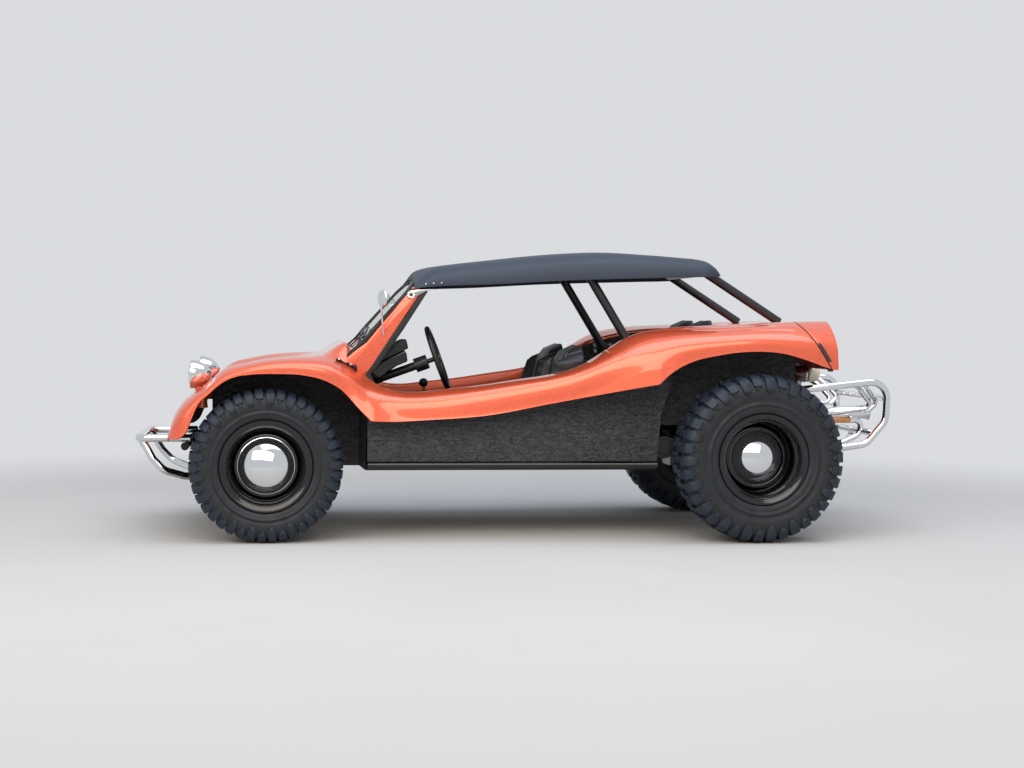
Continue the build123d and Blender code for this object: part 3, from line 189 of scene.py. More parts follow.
def fitted(name, net, material, body, slot, *nodes, **edge):
    """A whole piece from its net: tidied, its edges finished as edge says, and handed over."""
    return kept(edged(tidy(mesh_piece(name, *net, material)), **edge), body, slot, *nodes)


def lathe(profile, centre, side=RIGHT, steps=96, closed=False):
    """Net turned about the wheel axis from (outward distance, radius) pairs."""
    rows = []
    for i in range(steps):
        a = 2 * math.pi * i / steps
        rows.append([(centre[0] + r * math.sin(a), centre[1] + side * y, centre[2] + r * math.cos(a))
                     for y, r in profile])
    return grid(rows, close_rows=True, close_columns=closed, flip=side > 0)


def turned_about(profile, start, way, steps=48, closed=False):
    """Net turned about any axis from (distance along, radius) pairs."""
    n = Vector(way).normalized()
    u = n.orthogonal().normalized()
    v = n.cross(u)
    rows = []
    for i in range(steps):
        a = 2 * math.pi * i / steps
        ring = u * math.cos(a) + v * math.sin(a)
        rows.append([tuple(Vector(start) + n * d + ring * r) for d, r in profile])
    return grid(rows, close_rows=True, close_columns=closed)


def rounded_path(points, radius, step=8.0):
    """A line through points with each corner rounded by an arc of about one radius."""
    pts = [Vector(p) for p in points]
    path = [pts[0]]
    for before, corner, after in zip(pts, pts[1:], pts[2:]):
        a, b = (before - corner), (after - corner)
        turn = math.pi - a.angle(b)
        if turn < 0.02:
            path.append(corner)
            continue
        reach = min(radius * math.tan(turn / 2), a.length * 0.48, b.length * 0.48)
        r = reach / math.tan(turn / 2)
        a.normalize()
        b.normalize()
        middle = corner + (a + b).normalized() * (r / math.cos(turn / 2))
        start = corner + a * reach - middle
        end = corner + b * reach - middle
        n = max(3, int(r * turn / step))
        for k in range(n + 1):
            path.append(middle + start.slerp(end, k / n).normalized() * r)
    path.append(pts[-1])
    return path


def pipe(points, radius, bend=40, around=20, ends=True, taper=None):
    """Net of a round tube along a rounded path."""
    path = rounded_path(points, bend)
    rows = []
    way = (path[1] - path[0]).normalized()
    u = way.orthogonal().normalized()
    count = len(path)
    for i, p in enumerate(path):
        ahead = (path[min(i + 1, count - 1)] - path[max(i - 1, 0)]).normalized()
        u = (u - ahead * u.dot(ahead)).normalized()
        v = ahead.cross(u)
        r = radius if taper is None else radius + (taper - radius) * i / (count - 1)
        rows.append([tuple(p + (u * math.cos(a) + v * math.sin(a)) * r)
                     for a in np.linspace(0, 2 * math.pi, around, endpoint=False)])
    pts, fcs = grid(rows, close_columns=True)
    if ends:
        fcs.append(tuple(range(around)))
        fcs.append(tuple(range((count - 1) * around, count * around))[::-1])
        fcs = [tuple(reversed(f)) for f in fcs]
    return pts, fcs


def block(x0, x1, y0, y1, z0, z1):
    """Points and faces of a square block, as a start for softened pieces."""
    pts = [(x, y, z) for x in (x0, x1) for y in (y0, y1) for z in (z0, z1)]
    fcs = [(0, 1, 3, 2), (4, 6, 7, 5), (0, 4, 5, 1), (2, 3, 7, 6), (0, 2, 6, 4), (1, 5, 7, 3)]
    return pts, fcs


def prism(outline, y0, y1):
    """A plate with its outline in side view, between two y values."""
    n = len(outline)
    pts = [(x, y0, z) for x, z in outline] + [(x, y1, z) for x, z in outline]
    fcs = [tuple(range(n)), tuple(range(2 * n - 1, n - 1, -1))]
    fcs += [(i, n + i, n + (i + 1) % n, (i + 1) % n) for i in range(n)]
    return pts, fcs


# Materials

def colour(code):
    """Linear colour from an sRGB hex value."""
    parts = [int(code[i:i + 2], 16) / 255 for i in (0, 2, 4)]
    return tuple(c / 12.92 if c <= 0.04045 else ((c + 0.055) / 1.055) ** 2.4 for c in parts) + (1.0,)


def add(tree, kind, inputs=(), **settings):
    """Add a node with its settings, and its inputs as values or links."""
    made = tree.nodes.new(kind)
    for key, value in settings.items():
        setattr(made, key, value)
    for key, value in dict(inputs).items():
        if isinstance(value, bpy.types.NodeSocket):
            tree.links.new(value, made.inputs[key])
        else:
            made.inputs[key].default_value = value
    return made


def new_material(name):
    """An empty material with its node tree and Object coordinates in metres."""
    mat = bpy.data.materials.new(name)
    mat.use_nodes = True
    mat.node_tree.nodes.clear()
    where = add(mat.node_tree, "ShaderNodeTexCoord").outputs["Object"]
    return mat, mat.node_tree, where


def shaded(tree, **inputs):
    """The main shader and the output."""
    names = {key.replace("_", " "): value for key, value in inputs.items()}
    shader = add(tree, "ShaderNodeBsdfPrincipled", names)
    add(tree, "ShaderNodeOutputMaterial", {"Surface": shader.outputs[0]})
    return shader


def noise(tree, where, size_mm, detail=3.0, rough=0.5):
    """Noise whose main grain is about size_mm across."""
    return add(tree, "ShaderNodeTexNoise", {"Vector": where, "Scale": 1000.0 / size_mm / 2, "Detail": detail,
                                            "Roughness": rough}).outputs["Fac"]


def ramp(tree, fac, stops):
    """Colour ramp from (place, hex) pairs."""
    made = add(tree, "ShaderNodeValToRGB", {"Fac": fac})
    keys = made.color_ramp.elements
    while len(keys) < len(stops):
        keys.new(0.5)
    for key, (place, code) in zip(keys, stops):
        key.position = place
        key.color = colour(code)
    return made.outputs["Color"]


def spread(tree, fac, low_out, high_out, low_in=0.3, high_in=0.7):
    """Map a grain onto a range of values."""
    return add(tree, "ShaderNodeMapRange", {"Value": fac, "From Min": low_in, "From Max": high_in,
                                            "To Min": low_out, "To Max": high_out}).outputs["Result"]


def bumped(tree, height, depth_mm, strength=1.0, below=None):
    """Bump of a real depth."""
    inputs = {"Height": height, "Distance": depth_mm * MM, "Strength": strength}
    if below is not None:
        inputs["Normal"] = below
    return add(tree, "ShaderNodeBump", inputs).outputs["Normal"]


def stretched(tree, where, scale):
    return add(tree, "ShaderNodeMapping", {"Vector": where, "Scale": scale}).outputs["Vector"]


def body_paint():
    # Metallic enamel sprayed on glass fibre under clear lacquer: small flakes, deep gloss, faint orange peel
    mat, tree, where = new_material("metallic_orange_enamel")
    flake = noise(tree, where, 1.6, 1.0)
    base = ramp(tree, flake, [(0.35, "D94F2C"), (0.65, "EC6C46")])
    peel = bumped(tree, noise(tree, where, 9, 1.0), 0.02, 0.5)
    shaded(tree, Base_Color=base, Metallic=0.5, Roughness=spread(tree, flake, 0.30, 0.42), Normal=peel,
           Coat_Weight=1.0, Coat_Roughness=0.03, Specular_IOR_Level=0.5)
    return mat


def textured_side():
    # Brushed-on black protective coating over glass fibre: creased, rubbery grain with dull highlights; its
    # raised creases are also painted lighter grey as painted highlights
    mat, tree, where = new_material("textured_black_coating")
    flow = stretched(tree, where, (0.55, 1.0, 1.0))
    crease = add(tree, "ShaderNodeTexNoise", {"Vector": flow, "Scale": 70.0, "Detail": 5.0, "Roughness": 0.62,
                                              "Distortion": 1.1}).outputs["Fac"]
    wide = noise(tree, where, 140, 2.0)
    # painted highlights: the raised creases of the grain are coloured lighter grey, as if catching the light
    base = ramp(tree, crease, [(0.36, "0D0D0F"), (0.64, "3B3A3F")])
    normal = bumped(tree, crease, 9.0, 1.0, bumped(tree, wide, 12.0, 0.6))
    shaded(tree, Base_Color=base, Roughness=spread(tree, crease, 0.46, 0.26), Normal=normal)
    return mat


def plain(name, code, rough, metal=0.0, grain=0.0, depth=0.0, vary=0.06, coat=0.0, level=0.5):
    """Finish with a fine grain: name, hex, roughness, metal share, grain size and depth in mm."""
    mat, tree, where = new_material(name)
    wide = noise(tree, where, 60, 3.0)
    inputs = {"Base_Color": colour(code), "Metallic": metal, "Coat_Weight": coat, "Specular_IOR_Level": level,
              "Coat_Roughness": 0.04, "Roughness": spread(tree, wide, max(rough - vary, 0.02), rough + vary)}
    if grain:
        inputs["Normal"] = bumped(tree, noise(tree, where, grain, 3.0), depth, 0.8)
    shaded(tree, **inputs)
    return mat


def tyre_rubber(radius, centre):
    # Moulded rubber: black lugs with a blue tint that is a painted reflection of the sky, brownish dusty
    # sidewall with faint rings round the axle
    mat, tree, where = new_material("moulded_tyre_rubber_%d" % radius)
    around = add(tree, "ShaderNodeMapping", {"Vector": where, "Location": [-c for c in placed(centre)]},
                 vector_type="POINT").outputs["Vector"]
    flat = add(tree, "ShaderNodeVectorMath", {0: around, 1: (1, 0, 1)},
               operation="MULTIPLY").outputs["Vector"]
    reach = add(tree, "ShaderNodeVectorMath", {0: flat}, operation="LENGTH").outputs["Value"]
    dust = add(tree, "ShaderNodeMapRange", {"Value": reach, "From Min": (radius - 40) * MM,
                                            "From Max": (radius - 78) * MM}).outputs["Result"]
    speck = noise(tree, where, 26, 4.0, 0.6)
    cover = add(tree, "ShaderNodeMath", {0: dust, 1: spread(tree, speck, 0.35, 1.0)},
                operation="MULTIPLY").outputs["Value"]
    # painted reflection: colour A tints the lugs blue for the sky they reflect; colour B is brown dust on the
    # sidewall
    base = add(tree, "ShaderNodeMix", {"Factor": cover, "A": colour("1E2733"), "B": colour("1B1918")},
               data_type="RGBA")
    shaded(tree, Base_Color=base.outputs["Result"], Roughness=spread(tree, speck, 0.46, 0.66),
           Specular_IOR_Level=0.4, Normal=bumped(tree, noise(tree, where, 3, 3.0), 0.25, 0.7))
    return mat


def roof_cover():
    # Textured gel coat, dull slate black with a fine pebble grain
    mat, tree, where = new_material("textured_slate_gelcoat")
    grain = noise(tree, where, 2.2, 3.0, 0.6)
    base = ramp(tree, noise(tree, where, 300, 2.0), [(0.3, "232D3C"), (0.7, "2A3546")])
    shaded(tree, Base_Color=base, Roughness=spread(tree, grain, 0.50, 0.64),
           Normal=bumped(tree, grain, 0.3, 0.8))
    return mat


def seat_vinyl():
    # Grained black vinyl stretched over foam: soft sheen, pores about 2 mm across
    mat, tree, where = new_material("grained_black_vinyl")
    pores = add(tree, "ShaderNodeTexVoronoi", {"Vector": where, "Scale": 420.0},
                feature="DISTANCE_TO_EDGE").outputs["Distance"]
    wide = noise(tree, where, 90, 3.0)
    base = ramp(tree, wide, [(0.3, "15181D"), (0.7, "1F2329")])
    shaded(tree, Base_Color=base, Roughness=spread(tree, wide, 0.38, 0.5),
           Normal=bumped(tree, pores, 0.35, 0.6), Sheen_Weight=0.1)
    return mat


def clear_glass(name, tint):
    # Laminated or moulded clear glass: smooth, a faint tint
    mat, tree, where = new_material(name)
    shaded(tree, Base_Color=colour(tint), Roughness=0.02, Transmission_Weight=1.0, IOR=1.45, Alpha=1.0,
           Normal=bumped(tree, noise(tree, where, 400, 1.0), 0.05, 0.2))
    return mat


PAINT = body_paint()
SIDE_COAT = textured_side()
ROOF_COAT = roof_cover()
VINYL = seat_vinyl()
# Polished stainless and plated steel: mirror finish with faint polishing haze
CHROME = plain("polished_chrome_plate", "DCDEE0", 0.05, metal=1.0, vary=0.02)
# Gloss black stove enamel on pressed steel
RIM_BLACK = plain("gloss_black_stove_enamel", "050608", 0.14, vary=0.03, coat=0.4, level=0.4)
# Satin powder coat on steel tube: charcoal, faint orange peel
TUBE_BLACK = plain("satin_black_powder_coat", "1A1D21", 0.38, grain=2.5, depth=0.06)
# Black chassis paint: dull, a little dusty
CHASSIS = plain("black_chassis_paint", "151617", 0.5, grain=6, depth=0.2, vary=0.12)
# Moulded black plastic with a fine spark-eroded grain
PLASTIC = plain("moulded_black_plastic", "101113", 0.42, grain=1.2, depth=0.08)
# Extruded rubber seal: deep black, dull
RUBBER = plain("extruded_black_rubber", "0C0D0E", 0.62, grain=1.5, depth=0.05)
# Sand-cast aluminium: pale grey, rough skin
ALLOY = plain("sand_cast_aluminium", "9A9C9E", 0.42, metal=1.0, grain=3, depth=0.35, vary=0.12)
# Zinc-plated steel fasteners and levers
ZINC = plain("zinc_plated_steel", "B5B8BA", 0.28, metal=1.0, grain=2, depth=0.05)
# Cast iron, machined and oiled
IRON = plain("dark_cast_iron", "3A3B3D", 0.5, metal=0.8, grain=3, depth=0.3, vary=0.1)
# Heat-tinted stainless pipe: straw to copper
HOT_STEEL = plain("heat_tinted_stainless", "C98E62", 0.16, metal=1.0, vary=0.06)
# Polished brass stick
BRASS = plain("polished_brass", "C9A227", 0.2, metal=1.0, vary=0.05)
# Deep red enamel on the breather's filter
MAROON = plain("maroon_enamel", "5A1414", 0.25, coat=0.6, vary=0.08)
# Ivory enamel cover
IVORY = plain("ivory_enamel", "D8CFB4", 0.3, coat=0.4, vary=0.08)
# Smoked red acrylic lamp lens
LENS_RED = plain("smoked_red_acrylic", "2A0808", 0.08, coat=1.0, vary=0.02)
GLASS = clear_glass("laminated_screen_glass", "6E7C76")
LAMP_GLASS = clear_glass("pressed_lamp_glass", "F4F7F8")


# Body shell: smooth lines along the car, and a half section at every station

# x, rim (y, z), shoulder (y, z), y of the side far below
BODY_LINES = np.array([
    (-471, 530, 515, 640, 500, 700), (-443, 545, 603, 662, 562, 712), (-410, 557, 658, 684, 608, 724),
    (-360, 574, 706, 702, 657, 740), (-300, 590, 752, 715, 704, 752), (-200, 595, 834, 727, 788, 770),
    (-100, 598, 862, 735, 824, 778), (0, 600, 881, 740, 843, 782), (100, 603, 891, 741, 850, 781),
    (200, 605, 895, 740, 847, 778), (300, 600, 891, 728, 830, 766), (364, 596, 873, 713, 802, 756),
    (400, 592, 856, 705, 782, 750), (440, 590, 832, 697, 752, 746), (480, 588, 800, 690, 724, 742),
    (524, 588, 767, 687, 704, 741), (580, 588, 743, 685, 693, 739), (640, 588, 729, 683, 688, 738),
    (705, 588, 724, 682, 687, 738), (862, 588, 739, 683, 698, 740), (1039, 588, 759, 690, 724, 745),
    (1199, 588, 784, 698, 750, 753), (1404, 588, 817, 713, 786, 766), (1470, 588, 834, 723, 803, 776),
    (1528, 588, 856, 735, 824, 786), (1590, 588, 888, 750, 850, 797), (1648, 590, 926, 763, 876, 806),
    (1700, 594, 958, 775, 896, 816), (1745, 598, 986, 786, 914, 826), (1835, 604, 1022, 799, 936, 840),
    (1936, 610, 1041, 810, 951, 852), (2223, 617, 1062, 822, 978, 868), (2340, 620, 1068, 825, 985, 872),
    (2522, 620, 1078, 819, 980, 866), (2635, 618, 1082, 812, 972, 860), (2860, 600, 1086, 780, 940, 835)],
    float)
# x, heights at the middle, at y 335 and at y 500: the hood flicks up ahead of the screen
HOOD_LINES = np.array([
    (-471, 519, 517, 516), (-443, 612, 606, 603), (-410, 668, 661, 657), (-360, 716, 707, 705),
    (-300, 757, 746, 746), (-200, 806, 793, 808), (-100, 840, 824, 838), (0, 864, 846, 860),
    (100, 876, 860, 872), (200, 887, 877, 886), (250, 900, 893, 898), (300, 923, 918, 916),
    (340, 946, 942, 938), (364, 958, 954, 950), (385, 965, 961, 956), (398, 952, 945, 938),
    (415, 932, 922, 910), (440, 918, 906, 884), (480, 902, 884, 850)], float)
# x, (y, z) of the inner edge of the rear moulding
INNER_LINES = np.array([
    (1660, 574, 926), (1700, 530, 946), (1745, 484, 970), (1800, 470, 986), (1940, 470, 1020),
    (2340, 470, 1050), (2600, 470, 1065), (2860, 470, 1075)], float)
# x, height of the facet above the lower edge, beside each wheel arch
FACET_LINES = np.array([
    (-471, 5), (300, 5), (380, 8), (440, 40), (500, 70), (560, 44), (640, 16), (720, 6), (800, 5), (1440, 5),
    (1500, 5), (1560, 12), (1645, 36), (1750, 64), (1850, 76), (1885, 74), (1931, 46), (1990, 22), (2038, 7),
    (2100, 5), (2860, 5)], float)
FRONT_ARCH = np.array([
    (-480, 500), (-400, 512), (-380, 532), (-367, 560), (-333, 644), (-290, 708), (-244, 753), (-191, 788),
    (-89, 808), (51, 814), (188, 806), (291, 777), (362, 734), (443, 646), (500, 588)], float)
BELLY = np.array([(500, 588), (560, 585), (779, 593), (1065, 616), (1353, 670), (1515, 702), (1812, 760),
                  (1885, 773)], float)
REAR_ARCH = np.array([
    (1885, 773), (1945, 826), (2043, 880), (2171, 913), (2342, 934), (2504, 925), (2645, 886), (2739, 854),
    (2765, 846), (2860, 846)], float)
# x, place of each groove across the rear shoulder, depth
GROOVES = np.array([(-471, 0.13, 0.30, 0), (1840, 0.13, 0.17, 0), (1880, 0.15, 0.21, 1.5),
                    (2082, 0.21, 0.36, 3), (2185, 0.22, 0.42, 3), (2412, 0.23, 0.52, 3),
                    (2570, 0.20, 0.56, 3), (2592, 0.19, 0.56, 0), (2860, 0.19, 0.56, 0)], float)
COWL_X, SIDE_X, DECK_X = 480.0, 1660.0, 2360.0
LINING_DEPTH = 120.0     # painted inner wall of the side pods, below their rim
SEAM = ((2600.0, 1090.0), (2752.0, 846.0))
TAIL_BACK = ((2780.0, 1090.0), (2788.0, 846.0))
LAMP_BAND = (886.0, 978.0)     # heights of the slim lamps in the tail seam


def on_line(table, x):
    return curve_value(table[:, 0], table[:, 1:], x)


def linear(table, x):
    return [np.interp(x, table[:, 0], table[:, i]) for i in range(1, table.shape[1])]


def lower_edge(x):
    for table in (FRONT_ARCH, BELLY, REAR_ARCH):
        if x <= table[-1, 0]:
            break
    return float(on_line(table, x)[0])


def side_points(x):
    """Rim, shoulder, facet crease and lower edge as (y, z)."""
    rim_y, rim_z, out_y, out_z, low_y = on_line(BODY_LINES, x)
    foot = min(lower_edge(x), out_z - 13)
    facet = linear(FACET_LINES, x)[0]
    rise = min(facet, (out_z - foot) * 0.6)
    swell = 0.30 * max(rise - 6, 0)

    def wall(z):
        return out_y + (low_y - out_y) * (out_z - z) / (out_z - 440) + swell
    return (rim_y, rim_z), (out_y, out_z), (wall(foot + rise), foot + rise), (wall(foot) + swell * 0.1, foot)


def side_columns(x, guide):
    """Half section from the rim over the shoulder to the lower edge."""
    rim, out, crease, foot = side_points(x)
    g1, g2, depth = linear(GROOVES, x)
    pts = np.asarray([guide, rim, out, crease, foot], float)
    run = np.concatenate([[0], np.cumsum(np.linalg.norm(np.diff(pts, axis=0), axis=1) ** 0.8)])

    def at(i, t):
        return curve_value(run, pts, run[i] + (run[i + 1] - run[i]) * t)
    w = 0.018
    places = [0, 0.4 * g1, 0.75 * g1, g1 - w, g1, g1 + w, (g1 + g2) / 2, g2 - w, g2, g2 + w]
    places += [g2 + (0.98 - g2) * k / 6 for k in range(1, 7)]
    line = []
    for i, t in enumerate(places):
        y, z = at(1, t)
        line.append((x, y, z - (depth if i in (4, 8) else 0)))
    for k in range(1, 9):
        y, z = at(2, k / 8 * 0.96)
        line.append((x, y, z))
    for t in (0.0, 0.06, 0.5, 0.94, 1.0):
        line.append((x, crease[0] + (foot[0] - crease[0]) * t, crease[1] + (foot[1] - crease[1]) * t))
    return line


def hood_columns(x, counts=(8, 6, 8)):
    """Half section from the middle to just before the rim."""
    mid, valley, edge = on_line(HOOD_LINES, x)
    rim, out = side_points(x)[:2]
    pts = [(-335, valley), (0, mid), (335, valley), (500, edge), rim, out]
    return [(x, float(y), float(z)) for y, z in through(pts, counts)[:-1]]


def hood_height(x, y):
    line = hood_columns(x, (20, 14, 14))
    return float(np.interp(abs(y), [p[1] for p in line], [p[2] for p in line]))


def stations(first, last):
    parts = [np.arange(-471, -359, 6.0), np.arange(-360, -240, 10.0), np.arange(-240, 500, 14.0),
             np.arange(500, 1480, 26.0), np.arange(1480, 2100, 14.0), np.arange(2100, 2861, 20.0),
             [-295, 390, COWL_X, 500, SIDE_X, 1885, DECK_X, 2860]]
    xs = np.unique(np.round(np.concatenate(parts), 1))
    xs = xs[(xs >= first) & (xs <= last)]
    keep = np.concatenate([[True], np.diff(xs) > 1.5])
    keep[-1] = True
    return xs[keep]


def rim_lip(y, z, x, drop=24.0):
    """The rim rolled in and down, from its lower end up to just before the rim."""
    return [(x, y - 13, z - drop), (x, y - 13, z - 12), (x, y - 11, z - 5), (x, y - 5, z - 0.8)]


def shell_net():
    """Half of the shell: nose and cowl, rim lip, outer side, rear top and deck."""
    nets = []
    sides = []
    for x in stations(-471, 2860):
        rim = side_points(x)[0]
        if x <= COWL_X:
            guide = (500, on_line(HOOD_LINES, x)[2])
        elif x <= SIDE_X:
            fade = max(0.0, 1 - (x - COWL_X) / 220)
            guide = (rim[0] - 90, rim[1] + 45 * fade)
        else:
            inner = on_line(INNER_LINES, x)
            guide = (min(inner[0], rim[0] - 12), inner[1])
        sides.append(side_columns(x, guide))
    nets.append(grid(sides))
    for first, last, part in ((-471, -295, slice(0, None)), (-295, 390, slice(8, None)),
                              (390, COWL_X, slice(0, None))):
        rows = [hood_columns(x)[part] + [(x, *side_points(x)[0])] for x in stations(first, last)]
        nets.append(grid(rows))
    rows = []
    for x in stations(COWL_X, SIDE_X):
        y, z = side_points(x)[0]
        rows.append(rim_lip(y, z, x, LINING_DEPTH) + [(x, y, z)])
    nets.append(grid(rows))
    rows = []
    for x in stations(SIDE_X, 2860):
        rim = side_points(x)[0]
        y, z = on_line(INNER_LINES, x)
        line = [(x, y + (rim[0] - y) * t, z + (rim[1] - z) * math.sin(t * math.pi / 2)) for t in (0, 0.3,
                                                                                                  0.6, 0.85,
                                                                                                  1)]
        rows.append((rim_lip(y, z, x) if x <= DECK_X else []) + line)
    split = next(i for i, row in enumerate(rows) if len(row) == 5)
    nets.append(grid(rows[:split]))
    nets.append(grid([rows[split - 1][4:]] + rows[split:]))
    rows = []
    for x in stations(DECK_X, 2860):
        y, z = on_line(INNER_LINES, x)
        rows.append([(x, y * t, z + 12 * (1 - t * t)) for t in (0, 0.2, 0.4, 0.6, 0.8, 1)])
    nets.append(grid(rows))
    return both_sides(joined(nets))


def cut(obj, upper, lower, shift=0.0, keep_front=True, fill=False):
    """Trim at a slanted plane through two (x, z) points; fill closes the cut."""
    a = Vector(placed([(upper[0] + shift, 0, upper[1])])[0])
    b = Vector(placed([(lower[0] + shift, 0, lower[1])])[0])
    way = (b - a).cross(Vector((0, 1, 0))).normalized()
    if way.x < 0:
        way = -way
    bm = bmesh.new()
    bm.from_mesh(obj.data)
    done = bmesh.ops.bisect_plane(bm, geom=bm.verts[:] + bm.edges[:] + bm.faces[:], plane_co=a, plane_no=way,
                                  clear_outer=keep_front, clear_inner=not keep_front)
    if fill:
        edges = [e for e in done["geom_cut"] if isinstance(e, bmesh.types.BMEdge)]
        bmesh.ops.contextual_create(bm, geom=edges)
    bm.to_mesh(obj.data)
    bm.free()
    return obj


# Outer moulding, all of it ahead of the tail seam
shell = tidy(mesh_piece("body_moulding", *shell_net(), PAINT))
cut(shell, *SEAM)
edged(shell, width=1.4, thickness=6.0, angle=40, segments=2, crisp=42)
kept(shell, "root", "body_paint", "body_front", "body_side_left", "body_side_right", "body_rear")

# Black lining on the inside of the shell
lining = tidy(mesh_piece("shell_lining", *shell_net(), SIDE_COAT))
cut(lining, *SEAM, shift=-6)
inward = lining.modifiers.new("inward", "DISPLACE")
inward.mid_level = 0.0
inward.strength = -7.5 * MM
edged(baked(lining), thickness=2.0)
kept(lining, "root", "side_texture")

# Black inner panels of the rear and front wheel arches
PANEL_Y = 452.0
panels = []
for x in np.arange(1930, 2671, 20.0):
    top = on_line(INNER_LINES, x)[1] - 16
    panels.append([(x, PANEL_Y, z) for z in np.linspace(640 + 60 * (x > 2600), top, 8)])
fitted("rear_arch_panels", both_sides(grid(panels)), SIDE_COAT, "root", "side_texture", thickness=3.0)
LINER_Y, LINER_FOOT = 300.0, 624.0
liner_rows = []
for x in np.arange(-270, 461, 20.0):
    top = hood_height(x, LINER_Y) - 16
    liner_rows.append([(x, LINER_Y, z) for z in np.linspace(LINER_FOOT, top, 6)]
                      + [(x, y, hood_height(x, y) - 14) for y in np.linspace(LINER_Y + 20, 560, 12)])
fitted("arch_liners", both_sides(grid(liner_rows)), SIDE_COAT, "root", "side_texture", thickness=3.0)

# Ledge under the hood's edge
ledge_rows = []
for x in np.linspace(-318, 411, 40):
    ledge_rows.append([(x, y, hood_height(x, y) - 8.5) for y in np.linspace(-358, 358, 45)])
ledge_points, ledge_faces = grid(ledge_rows)
ledge_faces = [f for f in ledge_faces
               if min(abs(ledge_points[i][1]) for i in f) > 300 or min(ledge_points[i][0] for i in f) < -280
               or max(ledge_points[i][0] for i in f) > 370]
ledge = tidy(mesh_piece("hood_ledge", ledge_points, ledge_faces, PAINT))
kept(edged(ledge, thickness=3.0), "root", "body_paint")

# Hood lid with its rear edge flicked up
lid_rows = []
for x in np.unique(np.concatenate([np.arange(-290, 385, 15.0), [340, 352, 364, 372, 379, 385]])):
    lid_rows.append([(x, y, hood_height(x, y)) for y in np.linspace(-330, 330, 41)])
fitted("hood_panel", grid(lid_rows), PAINT, "hood", "body_paint", "hood_lid", width=1.6, thickness=6.0,
       angle=40, segments=3)


def tail_net():
    rows = []
    for x in stations(2540, 2860):
        y, z = on_line(INNER_LINES, x)
        rim, out, crease, foot = side_points(x)
        low = 846.0
        line = [(x, y * t, z + 12 * (1 - t * t)) for t in (0, 0.25, 0.5, 0.75)]
        line += [(x, y + (rim[0] - y) * t, z + (rim[1] - z) * math.sin(t * math.pi / 2)) for t in (0, 0.3,
                                                                                                   0.6,
                                                                                                   0.85)]
        pts = [(y, z), rim, out, (out[0] + (foot[0] - out[0]) * 0.9, low), (foot[0], low - 80)]
        line += [(x, float(a), float(b)) for a, b in through(pts, (10, 8))]
        rows.append(line)
    return both_sides(grid(rows))


tail = tidy(mesh_piece("tail_moulding", *tail_net(), PAINT))
cut(tail, *SEAM, shift=7.0, keep_front=False, fill=True)
cut(tail, *TAIL_BACK, fill=True)
tidy(tail)
edged(tail, width=30, angle=48, segments=5, crisp=60)
kept(tail, "root", "body_paint", "tail_panel")

# Black lip in the seam behind the rear moulding
lip = tidy(mesh_piece("tail_seam_lip", *tail_net(), RUBBER))
cut(lip, *SEAM, shift=-16, keep_front=False)
cut(lip, *SEAM, shift=12)
for v in lip.data.vertices:
    v.co += Vector((0, -math.copysign(7 * MM, v.co.y) if abs(v.co.y) > 0.5 else 0, -8 * MM))
kept(edged(lip, thickness=3.0), "root", "black_plastic")

# Slim dark lamps that stand a little proud beside the seam
lamps = tidy(mesh_piece("tail_seam_lamps", *tail_net(), LENS_RED))
cut(lamps, *SEAM, shift=3, keep_front=False)
cut(lamps, *SEAM, shift=25)
bm = bmesh.new()
bm.from_mesh(lamps.data)
for height, above in zip(LAMP_BAND, (False, True)):
    bmesh.ops.bisect_plane(bm, geom=bm.verts[:] + bm.edges[:] + bm.faces[:], plane_co=(0, 0, height * MM),
                           plane_no=(0, 0, 1), clear_outer=above, clear_inner=not above)
bmesh.ops.delete(bm, geom=[v for v in bm.verts if abs(v.co.y) < 0.6], context="VERTS")
for v in bm.verts:
    v.co.y += math.copysign(3.5 * MM, v.co.y)
bm.to_mesh(lamps.data)
bm.free()
kept(edged(tidy(lamps), thickness=14.0, width=1.5), "root", "red_lens", "tail_lamps")


# Wheels

def profile_line(points, step=3.0):
    """Evenly sampled line through (y, r) points with its run and outward normals."""
    pts = np.asarray(points, float)
    run = np.concatenate([[0], np.cumsum(np.linalg.norm(np.diff(pts, axis=0), axis=1))])
    grid_run = np.arange(0, run[-1], step)
    line = np.array([curve_value(run, pts, s) for s in grid_run])
    way = np.gradient(line, axis=0)
    way /= np.linalg.norm(way, axis=1)[:, None]
    return grid_run, line, np.stack([-way[:, 1], way[:, 0]], axis=1)


def lug(rows, height, carcass, centre, side, radius):
    """One tread block: rows of (run across, from, to) with a height each, wrapped on the carcass."""
    run, line, normal = carcass
    points, faces = [], []
    for (u, s0, s1), h in zip(rows, height):
        y, r = (np.interp(u, run, line[:, i]) for i in (0, 1))
        ny, nr = (np.interp(u, run, normal[:, i]) for i in (0, 1))
        for s, lift in ((s0, -1.5), (s0 + 1.2, h), (s1 - 1.2, h), (s1, -1.5)):
            a = s / radius
            rr = r + nr * lift
            points.append((centre[0] + rr * math.sin(a), centre[1] + side * (y + ny * lift),
                           centre[2] + rr * math.cos(a)))
    n = len(rows)
    for i in range(n - 1):
        for j in range(4):
            a, b = i * 4 + j, i * 4 + (j + 1) % 4
            faces.append((a, b, b + 4, a + 4))
    faces += [(3, 2, 1, 0), (4 * n - 4, 4 * n - 3, 4 * n - 2, 4 * n - 1)]
    return points, faces


